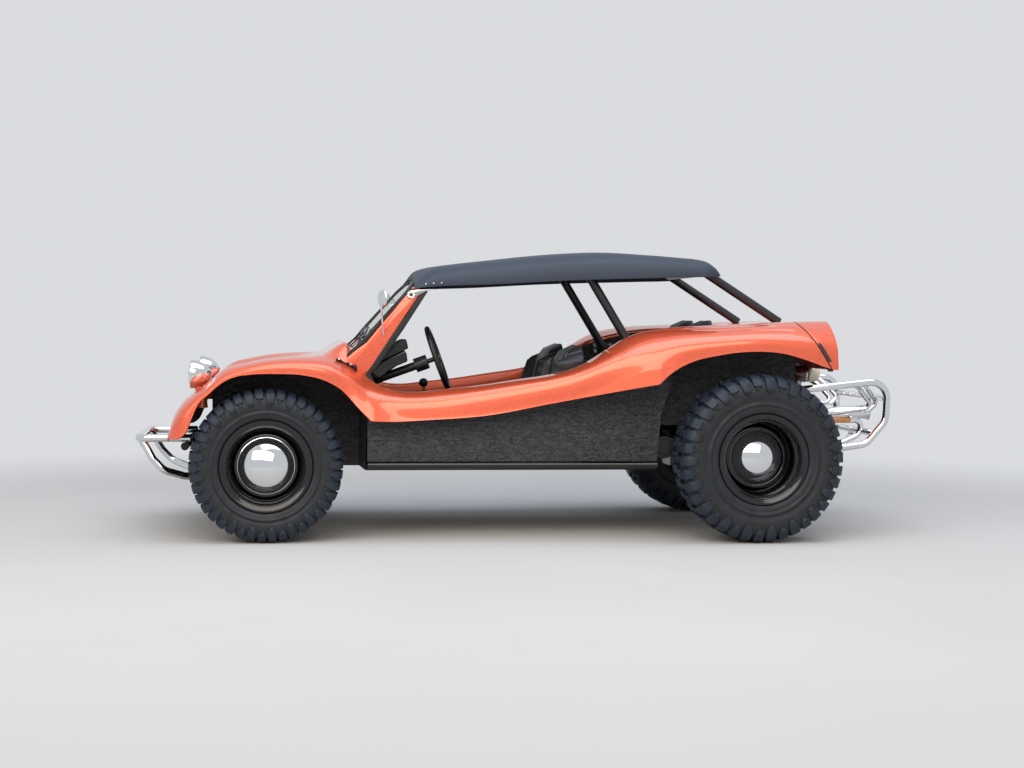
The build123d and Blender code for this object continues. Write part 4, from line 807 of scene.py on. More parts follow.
def repeat_group():
    """Node group: turn copies of a mesh about the axle (Y through Centre)."""
    group = bpy.data.node_groups.new("repeat_about_axle", "GeometryNodeTree")
    face = group.interface
    face.new_socket("Geometry", in_out="INPUT", socket_type="NodeSocketGeometry")
    face.new_socket("Count", in_out="INPUT", socket_type="NodeSocketInt")
    face.new_socket("Centre", in_out="INPUT", socket_type="NodeSocketVector")
    face.new_socket("Finish", in_out="INPUT", socket_type="NodeSocketMaterial")
    face.new_socket("Geometry", in_out="OUTPUT", socket_type="NodeSocketGeometry")
    start = add(group, "NodeGroupInput")
    away = add(group, "ShaderNodeVectorMath", {0: start.outputs["Centre"], "Scale": -1.0}, operation="SCALE")
    moved = add(group, "GeometryNodeTransform", {"Geometry": start.outputs["Geometry"],
                                                 "Translation": away.outputs["Vector"]})
    line = add(group, "GeometryNodeMeshLine", {"Count": start.outputs["Count"], "Offset": (0, 0, 0),
                                               "Start Location": start.outputs["Centre"]})
    turn = add(group, "ShaderNodeMath", {0: math.tau, 1: start.outputs["Count"]}, operation="DIVIDE")
    index = add(group, "GeometryNodeInputIndex")
    angle = add(group, "ShaderNodeMath", {0: index.outputs[0], 1: turn.outputs[0]}, operation="MULTIPLY")
    way = add(group, "ShaderNodeCombineXYZ", {"Y": angle.outputs[0]})
    copies = add(group, "GeometryNodeInstanceOnPoints",
                 {"Points": line.outputs[0], "Instance": moved.outputs[0], "Rotation": way.outputs[0]})
    real = add(group, "GeometryNodeRealizeInstances", {"Geometry": copies.outputs[0]})
    done = add(group, "GeometryNodeSetMaterial", {"Geometry": real.outputs[0],
                                                  "Material": start.outputs["Finish"]})
    add(group, "NodeGroupOutput", {"Geometry": done.outputs[0]})
    return group


REPEAT = repeat_group()


def repeated(obj, count, centre, material):
    """The object's mesh repeated round the axle."""
    mod = obj.modifiers.new("repeat", "NODES")
    mod.node_group = REPEAT
    values = {"Count": count, "Centre": tuple(placed([centre])[0]), "Finish": material}
    for item in REPEAT.interface.items_tree:
        if item.in_out == "INPUT" and item.name in values:
            mod[item.identifier] = values[item.name]
    baked(obj)
    obj.data.materials.clear()
    obj.data.materials.append(material)
    obj.data.polygons.foreach_set("material_index", [0] * len(obj.data.polygons))
    return obj


def merged(target, *others):
    """Join meshes of one material into the first object."""
    bm = bmesh.new()
    for obj in (target, *others):
        bm.from_mesh(obj.data)
    bm.to_mesh(target.data)
    bm.free()
    for obj in others:
        bpy.data.objects.remove(obj)
    return target


# radius, pitches, carcass (y, r) from the bead to the middle, places across of the shoulder blocks' ends
TYRES = {
    "front": (370, 21, [(106, 224), (113, 228), (119, 240), (122, 251), (124.5, 254), (124.5, 261),
                        (122, 264.5), (124.5, 285), (124.2, 306), (118, 326), (108, 338), (93, 348),
                        (70, 352.5), (0, 354)], 16.0), "rear": (411, 19,
                                                                [(125, 224), (132, 228), (138, 242),
                                                                 (141, 262), (143.8, 265), (143.8, 274),
                                                                 (141.2, 277.5), (144, 310), (143, 338),
                                                                 (137, 360), (126, 375), (108, 385),
                                                                 (84, 391), (0, 393)], 18.0), }


def tyre_piece(name, axle, centre, side):
    radius, pitches, profile, tall = TYRES[axle]
    rubber = tyre_rubber(radius, centre)
    rubber.name += "_" + name
    run, line, normal = profile_line([(y, r) for y, r in profile[::-1]], 2.0)
    half_line = [(float(y), float(r)) for y, r in line] + [profile[0]]
    full = [(-y, r) for y, r in half_line[::-1]] + half_line[1:]
    inside = [(profile[0][0] - 3, 224), (profile[0][0] - 3, 204), (-profile[0][0] + 3, 204),
              (-profile[0][0] + 3, 224)]
    ring = full + inside
    carcass = mesh_piece("tyre_" + name, *lathe(ring, centre, side, 120, closed=True), rubber)
    pitch = 2 * math.pi * radius / pitches
    k = pitch / 110.7
    w = 1.0 if axle == "front" else 1.15
    data = (run, line, normal)
    parts = []
    for half in (-1, 1):
        shift = 0 if half > 0 else pitch / 2
        long_end, short_end = (166, 142) if axle == "front" else (188, 164)
        blocks = [
            ([(70 * w, 4, 34), (88 * w, 2, 40), (104 * w, 0, 42), (120 * w, 0, 44), (long_end - 16, 3, 42),
              (long_end - 15, 8, 34), (long_end, 10, 32)],
             [tall, tall, tall, tall * 0.95, tall * 0.7, 8, 6]),
            ([(77 * w, 58, 88), (92 * w, 54, 94), (106 * w, 54, 97), (short_end - 12, 56, 96),
              (short_end - 11, 62, 86), (short_end + 6, 64, 84)], [tall, tall, tall, tall * 0.8, 8, 6]),
            ([(3, 8, 40), (20 * w, 4, 46), (34 * w, 12, 40), (35 * w, 18, 40), (63 * w, 16, 32)],
             [tall] * 5), ([(3, 60, 92), (18 * w, 62, 98), (36 * w, 58, 90), (37 * w, 50, 84),
                            (66 * w, 56, 80)], [tall] * 5), ]
        for rows, height in blocks:
            rows = [(u, (s0 + shift) * k, (s1 + shift) * k) for u, s0, s1 in rows]
            parts.append(lug(rows, height, data, centre, side * half, radius))
    treads = tidy(mesh_piece("lugs_" + name, *joined(parts), rubber))
    edged(treads, width=1.3, angle=30, segments=1, crisp=30)
    repeated(treads, pitches, centre, rubber)
    tidy(carcass)
    edged(carcass, crisp=40)
    piece = merged(carcass, treads)
    piece.data.set_sharp_from_angle(angle=math.radians(34))
    return piece


RIM_STEPS = [(-1, 196), (-3, 195), (-6, 191), (-22, 190), (-25, 187), (-42, 186), (-48, 181), (-52, 176)]


def rim_net(width, face_y, centre, side):
    """Pressed wheel: rolled flange, stepped barrel, dished disc with its raised ring."""
    half = width / 2 - 23
    out = half + 7
    face = [(half, 203), (half, 221), (half + 3, 222.5), (out, 220.5), (out, 213), (out - 4, 206),
            (out - 7, 200)]
    face += [(out - 7 + y, r) for y, r in RIM_STEPS]
    disc = [(face_y + 6, 176), (face_y - 4, 174), (face_y - 8, 169), (face_y + 4, 157), (face_y + 15, 151),
            (face_y + 16.5, 146), (face_y + 16, 130), (face_y + 8, 122), (face_y, 106), (face_y, 17)]
    back = [(face_y - 8, 17), (face_y - 8, 108), (face_y + 6, 134), (face_y + 8, 146), (face_y - 14, 168),
            (face_y - 18, 177), (-half + 40, 177), (-half + 40, 196), (-out, 198), (-out, 221), (-half, 222),
            (-half, 203), (-half + 45, 203), (-half + 60, 183), (half - 60, 183), (half - 45, 203)]
    net = lathe(face + disc + back, centre, side, 144, closed=True)
    drum = [(face_y - 8, 17), (face_y - 8, 96), (face_y - 14, 118), (face_y - 18, 123), (face_y - 61, 124),
            (face_y - 61, 116), (face_y - 23, 116), (face_y - 23, 40), (face_y - 50, 40), (face_y - 50, 17)]
    return joined([net, lathe(drum, centre, side, 72, closed=True)])


def cap_profile(face_y):
    """Pressed dome: part of a sphere with a small rolled foot."""
    foot = face_y + 17
    ball = 162.0
    top = foot + 76
    line = [(foot, 0), (foot, 139), (foot + 2.5, 140), (foot + 5, 139), (foot + 6, 137.5)]
    for k in range(1, 25):
        a = math.asin(136.5 / ball) * (1 - k / 24)
        line.append((top - ball + ball * math.cos(a), max(ball * math.sin(a), 0.0)))
    return line


WHEELS = {
    "front_left": ("front", (0, -609, 370), 262, 38), "front_right": ("front", (0, 609, 370), 262, 38),
    "rear_left": ("rear", (2400, -737, 411), 300, -28), "rear_right": ("rear", (2400, 737, 411), 300, -28),
}
for name, (axle, centre, width, face_y) in WHEELS.items():
    side = LEFT if centre[1] < 0 else RIGHT
    body = "wheel_" + name
    kept(tyre_piece(name, axle, centre, side), body, "tyre_rubber", "tyre_" + name)
    fitted("rim_" + name, rim_net(width, face_y, centre, side), RIM_BLACK, body, "rim_black",
           "wheel_" + name, width=1.0, angle=30, segments=2, crisp=34)
    fitted("dome_cap_" + name, lathe(cap_profile(face_y), centre, side, 128), CHROME, body, "chrome",
           "hub_cap_" + name, crisp=50)


# Roof

# x, lower edge, top
ROOF_LINES = np.array([
    (710, 1223, 1293), (714, 1225, 1306), (724, 1229, 1320), (742, 1233, 1330), (773, 1237, 1339),
    (851, 1243, 1352), (1100, 1254, 1384), (1480, 1277, 1424), (1720, 1287, 1434), (1900, 1293, 1425),
    (2080, 1299, 1411), (2160, 1301, 1403), (2205, 1303, 1392), (2230, 1304, 1377), (2248, 1305, 1357),
    (2258, 1307, 1337), (2262, 1309, 1325)], float)
ROOF_START, ROOF_END, ROOF_ROUNDING = 710.0, 2262.0, 92.0


def roof_row(x):
    edge, top = on_line(ROOF_LINES, x)
    rise = top - edge
    back = max(0.0, (x - ROOF_END) / ROOF_ROUNDING + 1) ** 2 * 40
    half = 540 - back
    # an arch at the front edge, fuller shoulders from there on
    full = min(1.0, (x - ROOF_START) / 110)
    low, corner, shoulder, crown = (a + (b - a) * full for a,
                                    b in ((0.03, 0.30), (0.08, 0.55), (0.26, 0.78), (0.77, 0.95)))
    pts = [(half - 2, edge - 30), (half, edge), (half - 2, edge + rise * low),
           (half - 14, edge + rise * corner), (half - 62, edge + rise * shoulder),
           (half * 0.5, edge + rise * crown), (0, top), (-half * 0.5, edge + rise * crown)]
    line = through(pts, (3, 4, 5, 5, 5))
    swept = 24 * max(0.0, 1 - (x - ROOF_START) / 110)
    return [(x + swept * (1 - (y / half) ** 2), float(y), float(z)) for y, z in line]


roof_rows = []
for x in np.unique(np.concatenate([np.arange(ROOF_START, 776, 5.0), np.arange(776, 2165, 40.0),
                                   np.arange(2165, ROOF_END, 6.0), [ROOF_END]])):
    row = roof_row(x)
    roof_rows.append(row + [(p[0], -p[1], p[2]) for p in row[-2::-1]])
fitted("roof_shell", grid(roof_rows), ROOF_COAT, "root", "roof_skin", "roof", width=2.5, thickness=7.0,
       angle=40, segments=3, crisp=50)
trim_path = [(p[0] - 1, p[1], p[2] - 4) for p in roof_rows[0][::3]]
fitted("roof_front_trim", pipe(trim_path, 7, 20, 12), RUBBER, "root", "black_plastic", crisp=60)


def dome(centre, way, radius, height, steps=20):
    """A small round head standing on a face."""
    profile = [(0, radius)] + [(height * math.sin(a), radius * math.cos(a)) for a in np.linspace(0.25, 1.45,
                                                                                                 5)]
    profile.append((height, 0.0))
    return turned_about(profile, centre, way, steps)


def hexagon(centre, way, radius, height):
    profile = [(-1, 0), (-1, radius * 1.35), (1.5, radius * 1.35), (1.5, radius), (height - 1, radius),
               (height, radius * 0.85), (height, 0)]
    return turned_about(profile, centre, way, 6)


rivets = []
for x, z in ((774, 1252), (812, 1256), (851, 1258)):
    for side in (LEFT, RIGHT):
        rivets.append(dome((x, side * 539.2, z), (0, side, 0), 5, 3))
kept(tidy(mesh_piece("roof_rivets", *joined(rivets), ZINC)), "root", "steel")


# Windscreen

POST = [(382, 846), (389, 872), (388, 889), (420, 918), (484, 965), (540, 1034), (592, 1096), (650, 1166),
        (699, 1222), (708, 1236), (742, 1238), (752, 1212), (729, 1179), (640, 1048), (560, 926),
        (498, 832), (474, 796), (452, 812), (410, 846)]


def post_y(z):
    return 566 - (z - 880) * 41 / 400


def leaning_plate(outline, thick, out=0.0):
    """A plate that leans in with the windscreen's sides."""
    n = len(outline)
    outer = [(x, post_y(z) + out, z) for x, z in outline]
    inner = [(x, post_y(z) + out - thick, z) for x, z in outline]
    fcs = [tuple(range(n)), tuple(range(2 * n - 1, n - 1, -1))]
    fcs += [(i, n + i, n + (i + 1) % n, (i + 1) % n) for i in range(n)]
    return outer + inner, fcs


def screen_point(along, across, off=0.0):
    """A point on the raked screen: up its slope, across, and off its face."""
    a = math.radians(48.5)
    return (405 + along * math.cos(a) + off * math.sin(a), across,
            897 + along * math.sin(a) - off * math.cos(a))


def screen_strip(low, high, thick, back):
    """A band across the screen between two lines of slope distance, arched like its foot."""
    rows = []
    for t in np.linspace(-1, 1, 33):
        rise = 62 * (1 - t * t)
        ring = []
        for along, off in ((low(rise), -back), (high(rise), -back), (high(rise), thick), (low(rise), thick)):
            half = 552 - along * 0.08
            ring.append(screen_point(along, t * half, off))
        rows.append(ring)
    pts, fcs = grid(rows, close_columns=True)
    return pts, fcs + [(0, 1, 2, 3), tuple(range(len(pts) - 1, len(pts) - 5, -1))]


posts = both_sides(leaning_plate(POST, 24))
sill = screen_strip(lambda r: r - 48, lambda r: r + 36, 22, 10)
fitted("screen_posts", joined([posts, sill]), PAINT, "root", "body_paint", "windscreen_frame", width=5,
       angle=40, segments=3, crisp=45)
fitted("screen_header", screen_strip(lambda r: 414 + 1.5 * r, lambda r: 440 + 1.5 * r, 12, 10), TUBE_BLACK,
       "root", "chassis_black", width=3, angle=40)
SEAL = [(752, 1214), (786, 1219), (669, 1036), (613, 954), (548, 860), (530, 838), (516, 822), (482, 788),
        (474, 794), (498, 830), (560, 924), (640, 1046), (729, 1179)]
STRIP = [(390, 889), (399, 896), (479, 961), (531, 1027), (608, 1112), (706, 1219), (692, 1232),
         (592, 1124), (514, 1038), (464, 976), (392, 914)]
fitted("post_seals", both_sides(leaning_plate(SEAL, 26, 2)), RUBBER, "root", "black_plastic", width=6,
       angle=30, segments=3, crisp=50)
gasket_path = [screen_point(40 + 62 * (1 - t * t), t * 520, 0) for t in np.linspace(-1, 1, 15)]
gasket_path += [screen_point(414 + 93 * (1 - t * t), -t * 505, 0) for t in np.linspace(-1, 1, 15)]
gasket_path.append(gasket_path[0])
fitted("post_strips", both_sides(leaning_plate(STRIP, 16, -2)), RUBBER, "root", "black_plastic", width=3,
       angle=30, segments=2, crisp=50)
fitted("screen_gasket", pipe(gasket_path, 10, 30, 12), RUBBER, "root", "black_plastic", crisp=60)

BRACKET = [(684, 1206), (690, 1216), (704, 1222), (810, 1228), (776, 1218), (716, 1186), (702, 1180),
           (688, 1188)]
fitted("roof_brackets", both_sides(leaning_plate(BRACKET, 6, 8)), ZINC, "root", "steel", width=1, angle=30)
washers, bolts = [], []
for side in (LEFT, RIGHT):
    face = (701, side * (post_y(1200) + 8), 1200)
    washers.append(turned_about([(0, 0), (0, 20), (2, 20), (3, 19), (3, 0)], face, (0, side, 0.1), 32))
    bolts.append(dome((701, face[1] + side * 3, 1200), (0, side, 0.1), 8, 5, 24))
fitted("bracket_washers", joined(washers), ZINC, "root", "steel", crisp=40)
fitted("bracket_bolts", joined(bolts), IRON, "root", "steel", crisp=60)

wipers = []
for foot, tip, ends in ((-60, -250, (-440, -80)), (300, 110, (-60, 300))):
    wipers.append(pipe([screen_point(40, foot, -6), screen_point(44, foot, -16),
                        screen_point(150, tip, -14)], 4, 6, 10))
    wipers.append(pipe([screen_point(118, ends[0], -12), screen_point(176, ends[1], -12)], 5, 5, 10))
fitted("wipers", joined(wipers), PLASTIC, "root", "black_plastic", crisp=50)


def over_skin(x, share, off=0.0):
    """A point on the front fender between rim (0) and shoulder (1), moved outwards."""
    line = side_columns(x, (500, on_line(HOOD_LINES, min(x, COWL_X))[2]))[:16]
    y, z = (float(np.interp(share, np.linspace(0, 1, 16), [p[i] for p in line])) for i in (1, 2))
    return (x, y + off * 0.5, z + off * 0.87)


def latch_bar(x0, x1, share, half, tall):
    """A rubber bar that follows the fender's skin."""
    rows = []
    for x in np.linspace(x0, x1, 9):
        rows.append([over_skin(x, share - half, 0.5), over_skin(x, share - half, tall),
                     over_skin(x, share + half, tall), over_skin(x, share + half, 0.5)])
    pts, fcs = grid(rows, close_columns=True)
    return pts, fcs + [(0, 1, 2, 3), tuple(range(len(pts) - 1, len(pts) - 5, -1))]


LATCH_SHARE = 0.24
latches = [latch_bar(334, 362, LATCH_SHARE, 0.085, 15), latch_bar(358, 392, LATCH_SHARE, 0.035, 11),
           latch_bar(386, 424, LATCH_SHARE, 0.09, 17), latch_bar(420, 436, LATCH_SHARE, 0.20, 20)]
fitted("hood_latches", both_sides(joined(latches)), RUBBER, "root", "black_plastic", width=2, angle=40,
       segments=2, crisp=45)
screws = [dome(over_skin(x, LATCH_SHARE, 14.5), (0, 0.8, 0.6), 6, 3, 20) for x in (347, 404)]
fitted("latch_screws", both_sides(joined(screws)), ZINC, "root", "steel", crisp=60)


# Bumpers and lamps

EYE_RING = [(-6, 12.5), (-6, 24), (6, 24), (6, 12.5)]     # tow eye: distance along its pin, radius
bars = [pipe([(-376, 350, 483), (-629, 350, 483), (-629, -350, 483), (-376, -350, 483)], 19, 60, 24)]
low_stay = [(-617, 312, 480), (-560, 336, 380), (-505, 340, 322), (-400, 262, 285), (-190, 240, 300)]
bars.append(both_sides(pipe(low_stay, 19, 60, 24)))
caps = [dome((-376, side * 350, 483), (1, 0, 0), 19, 4, 24) for side in (LEFT, RIGHT)]
clamps = both_sides(pipe([(-401, 350, 443), (-401, 350, 466)], 14, 5, 20))
eye = turned_about(EYE_RING, (-629, 0, 437), (0, 1, 0), 40, closed=True)
eye_neck = block(-641, -617, -6, 6, 455, 470)
fitted("front_bumper_tubes", joined(bars + [clamps, eye, eye_neck]), CHROME, "root", "chrome",
       "front_bumper", crisp=50)
kept(tidy(mesh_piece("bumper_plugs", *joined(caps), PLASTIC)), "root", "black_plastic")

# the loops run round the engine bay; two cross bars join them
LOOP = [(2320, 176, 456), (2320, 240, 456), (2440, 420, 456), (2900, 420, 433), (3058, 420, 456),
        (3160, 420, 575), (3172, 420, 784), (2480, 420, 709), (2480, 420, 456)]
BRACE = [(2990, 412, 766), (3036, 372, 736), (3121, 340, 639), (2916, 330, 614), (2560, 330, 590)]
BRACE_UP = [(3048, 412, 770), (3080, 372, 736), (3143, 340, 664), (3100, 336, 628)]
loops = joined([both_sides(pipe(LOOP, 19, 88, 24)), both_sides(pipe(BRACE, 13, 26, 20)),
                both_sides(pipe(BRACE_UP, 13, 30, 20))])
cross = [pipe([(3168, -412, 690), (3168, 412, 690)], 15, 5, 24),
         pipe([(3108, -412, 510), (3108, 412, 510)], 17, 5, 24)]
rear_eye = turned_about(EYE_RING, (3113, 0, 464), (0, 1, 0), 40, closed=True)
rear_neck = block(3101, 3125, -6, 6, 482, 496)
fitted("rear_bumper_tubes", joined([loops, *cross, rear_eye, rear_neck]), CHROME, "root", "chrome",
       "rear_bumper", crisp=50)

LAMP = (-327, 486, 803)     # middle of the right headlamp
BOWL = [(-66, 0), (-60, 16), (-44, 38), (-20, 55), (8, 66), (26, 70), (34, 71), (40, 69.5), (42, 66),
        (38, 63), (34, 62), (10, 56), (-20, 42), (-44, 20), (-50, 0)]
bowls, lenses = [], []
for side in (LEFT, RIGHT):
    start = (LAMP[0], side * LAMP[1], LAMP[2])
    bowls.append(turned_about(BOWL, start, (-1, 0, 0.03), 72))
    glass = [(30, 62), (36, 62.5), (42, 58), (47, 44), (50, 26), (51, 0)]
    lenses.append(turned_about(glass, start, (-1, 0, 0.03), 72))
fitted("headlamp_bowls", joined(bowls), CHROME, "root", "chrome", "headlamps", crisp=40)
fitted("headlamp_lenses", joined(lenses), LAMP_GLASS, "root", "screen_glass", thickness=2.0, crisp=50)
stalks = []
for side in (LEFT, RIGHT):
    y = side * LAMP[1]
    rows = []
    for x, z, rx, ry in ((-318, 640, 34, 26), (-318, 700, 28, 22), (-319, 728, 27, 21), (-322, 745, 31, 24)):
        rows.append([(x + rx * math.cos(a), y + ry * math.sin(a), z) for a in np.linspace(0, math.tau, 24,
                                                                                          False)])
    stalks.append(grid(rows, close_columns=True))
fitted("headlamp_stalks", joined(stalks), PAINT, "root", "body_paint", crisp=50)

# Cage: hoop, rear stays, bolted feet

HOOP = [(1832, 430, 930), (1577, 430, 1346), (1577, -430, 1346), (1832, -430, 930)]
cage = [pipe(HOOP, 22, 85, 28)]
cage.append(both_sides(pipe([(2196, 420, 1330), (2590, 420, 1079)], 22, 10, 28)))
cage.append(pipe([(2196, -420, 1330), (2196, 420, 1330)], 22, 10, 24))
feet = both_sides(block(1775, 1890, 450, 463, 896, 962))
tabs = both_sides(block(1800, 1862, 436, 463, 912, 948))
cage_piece = tidy(mesh_piece("cage_tubes", *joined(cage), TUBE_BLACK))
feet_piece = edged(tidy(mesh_piece("cage_feet", *joined([feet, tabs]), TUBE_BLACK)), width=3, segments=3)
edged(cage_piece, crisp=50)
kept(merged(cage_piece, feet_piece), "root", "chassis_black", "roll_cage")
bolts = []
for side in (LEFT, RIGHT):
    for x, z in ((1790, 912), (1790, 946), (1875, 912), (1875, 946)):
        bolts.append(hexagon((x, side * 450, z), (0, -side, 0), 8, 7))
fitted("cage_bolts", joined(bolts), ZINC, "root", "steel", crisp=30)

# Mirrors on bent rods from the screen posts

MIRROR_X = {LEFT: 553, RIGHT: 640}
MIRROR_Y, MIRROR_Z = 606, 1178
mirror_nets, rods = [], []
for side in (LEFT, RIGHT):
    x, y = MIRROR_X[side], side * MIRROR_Y
    head = [(0, 0), (2, 24), (5, 36), (9, 42), (13, 43), (15, 42), (15, 39), (13, 38), (13, 0)]
    mirror_nets.append(turned_about(head, (x - 6, y, MIRROR_Z), (1, -0.55 * side, 0.0), 48))
    foot = (565, side * 552, 990) if side < 0 else (640, side * 536, 1130)
    rods.append(pipe([(x, y, MIRROR_Z), (x, y, MIRROR_Z - 56), (foot[0], foot[1] + side * 8, foot[2] + 12),
                      foot], 5, 14, 12))
fitted("mirror_heads", joined(mirror_nets + rods), CHROME, "root", "chrome", "mirrors", crisp=45)


# Seats: vinyl over foam, with sewn channels

# millimetres: grain of the net, start inside the solid, largest swelling
VOXEL, SHRUNK, SWELL = 12.0, 9.0, 13.0
PRESSURE, CLOTH_FRAMES = 4.0, 20


def stuffed(name, node, lines, half):
    """A cushion swollen by pressure from a copy of its solid, then sewn into channels at the y lines."""
    obj = bpy.data.objects.new(name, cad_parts[node].data.copy())
    bpy.context.collection.objects.link(obj)
    obj.data.materials.clear()
    obj.data.materials.append(VINYL)
    tidy(obj, outward=False)
    net = obj.modifiers.new("net", "REMESH")
    net.mode = "VOXEL"
    net.voxel_size = VOXEL * MM
    shrink = obj.modifiers.new("shrink", "DISPLACE")
    shrink.mid_level = 0.0
    shrink.strength = -SHRUNK * MM
    ease = obj.modifiers.new("ease", "SMOOTH")
    ease.iterations = 6
    baked(obj)
    start = np.array([v.co[:] for v in obj.data.vertices])
    floor_z = start[:, 2].min()
    soft = obj.modifiers.new("swell", "CLOTH")
    soft.settings.quality = 5
    soft.settings.use_pressure = True
    soft.settings.uniform_pressure_force = PRESSURE
    soft.settings.effector_weights.gravity = 0.0
    for number in range(1, CLOTH_FRAMES + 1):
        bpy.context.scene.frame_set(number)
    baked(obj)
    bpy.context.scene.frame_set(1)
    now = np.array([v.co[:] for v in obj.data.vertices])
    move = now - start
    reach = np.linalg.norm(move, axis=1)
    now = start + move * np.minimum(1.0, SWELL * MM / np.maximum(reach, 1e-9))[:, None]
    now[:, 2] = np.maximum(now[:, 2], floor_z - SHRUNK * MM)
    obj.data.vertices.foreach_set("co", now.ravel())
    fine = obj.modifiers.new("fine", "SUBSURF")
    fine.levels = 1
    fine.render_levels = 1
    baked(obj)
    now = np.array([v.co[:] for v in obj.data.vertices])
    # the top slopes down towards the front
    bottom, top, rear = now[:, 2].min(), now[:, 2].max(), now[:, 0].max()
    rise = (now[:, 2] - bottom) / (top - bottom)
    now[:, 2] -= 0.42 * np.clip((rise - 0.84) / 0.16, 0, 1) * np.clip(rear - 0.02 - now[:, 0], 0, 0.12)
    obj.data.vertices.foreach_set("co", now.ravel())
    middle = (start[:, 1].min() + start[:, 1].max()) / 2
    for v in obj.data.vertices:
        facing = -0.75 * v.normal.x + 0.66 * v.normal.z
        off = abs(v.co.y - middle) / MM
        if facing < 0.25 or off > half + 14:
            continue
        near = min(abs(off - line) for line in lines)
        deep = 6.0 * math.exp(-(near / 9.0) ** 2) * min(1.0, (facing - 0.25) / 0.3)
        v.co -= v.normal * deep * MM
    obj.data.polygons.foreach_set("use_smooth", [True] * len(obj.data.polygons))
    return obj


def seat_pair(place, lines, half):
    left = stuffed(place + "_cushion_left", place + "_left", lines, half)
    other = left.data.copy()
    points = np.array([v.co[:] for v in other.vertices])
    points[:, 1] *= -1
    other.vertices.foreach_set("co", points.ravel())
    other.flip_normals()
    right = bpy.data.objects.new(place + "_cushion_right", other)
    bpy.context.collection.objects.link(right)
    for obj, node in ((left, place + "_left"), (right, place + "_right")):
        kept(obj, "root", "seat_cover", node)


seat_pair("front_seat", (0, 56, 112, 168), 168)
seat_pair("rear_seat", (0, 52, 104, 156), 156)

# Exhaust: run pipes, tinted crossover, chrome trumpet

HEAD_Y = 330     # middle of the exhaust ports and of the carburettors
runs = [pipe([(2700, -HEAD_Y, 391), (2900, -HEAD_Y, 391), (2900, -60, 430), (2955, -60, 590)], 19, 60, 24),
        pipe([(2700, HEAD_Y, 391), (2900, HEAD_Y, 391), (2900, -40, 430)], 19, 60, 24),
        both_sides(pipe([(2650, HEAD_Y, 470), (2760, HEAD_Y, 575), (3000, HEAD_Y, 575)], 16, 50, 20))]
fitted("exhaust_runs", joined(runs), HOT_STEEL, "root", "chrome", "exhaust", crisp=50)
TRUMPET = [(-10, 0), (-8, 22), (4, 30), (40, 36), (120, 38), (190, 35), (214, 37), (228, 43), (230, 44),
           (228, 41), (212, 33), (190, 31), (60, 31), (60, 0)]
curves = both_sides(pipe([(2990, 330, 575), (3062, 330, 572), (3052, 330, 500), (2940, 330, 452)], 15, 45,
                         20))
trumpet = joined([turned_about(TRUMPET, (2955, -60, 592), (1, 0, 0.05), 48), curves])
fitted("exhaust_trumpet", trumpet, CHROME, "root", "chrome", crisp=40)

# Air cleaners on their carburettors
front_drums, rear_drums, carbs, clamps = [], [], [], []
for side in (LEFT, RIGHT):
    start = (2688, side * HEAD_Y, 814)
    front_drums.append(turned_about([(0, 0), (0, 32), (3, 38), (10, 42), (74, 42), (78, 40), (78, 0)],
                                    start, (1, 0, 0), 56))
    rear_drums.append(turned_about([(78, 0), (80, 39), (84, 42), (118, 42), (132, 37), (141, 26), (144, 12),
                                    (144, 0)], start, (1, 0, 0), 56))
    clamps.append(turned_about([(64, 41), (64, 44), (72, 44), (72, 41)], start, (1, 0, 0), 56, closed=True))
    stem = [(0, 0), (0, 30), (10, 30), (12, 24), (150, 24), (154, 36), (222, 36), (230, 22), (275, 22),
            (275, 0)]
    carbs.append(turned_about(stem, (2716, side * HEAD_Y, 515), (0, 0, 1), 40))
    carbs.append(turned_about([(0, 0), (0, 18), (4, 21), (50, 21), (54, 18), (54, 0)],
                              (2672, side * HEAD_Y, 668), (0, 0, 1), 32))
fitted("cleaner_fronts", joined(front_drums), MAROON, "root", "filter_cream", "air_cleaners", crisp=35)
fitted("cleaner_rears", joined(rear_drums), IVORY, "root", "filter_cream", crisp=35)
fitted("cleaner_clamps", joined(clamps), ZINC, "root", "steel", crisp=35)
fitted("carburettors", joined(carbs), ALLOY, "root", "alloy", crisp=35)

# Binnacle: grained hood over a glossy body, gear lever's brass stick
POD_HOOD = [(560, 884), (596, 926), (641, 968), (660, 977), (683, 981), (688, 972), (697, 935), (679, 925),
            (596, 886), (552, 864)]
POD_BODY = [(489, 793), (517, 835), (552, 864), (596, 886), (679, 925), (690, 905), (694, 869), (640, 846),
            (600, 818), (543, 768), (500, 780)]
hood_net = prism(POD_HOOD, -432, -278)
fitted("binnacle_hood", hood_net, PLASTIC, "root", "black_plastic", "instrument_pod", width=6, angle=30,
       segments=4, crisp=40)
body_net = prism(POD_BODY, -426, -284)
fitted("binnacle_body", body_net, RIM_BLACK, "root", "black_plastic", width=8, angle=25, segments=4, crisp=40)
stick = pipe([(801, 0, 560), (805, 0, 733)], 7.6, 5, 20)
fitted("lever_stick", stick, BRASS, "root", "steel", crisp=50)

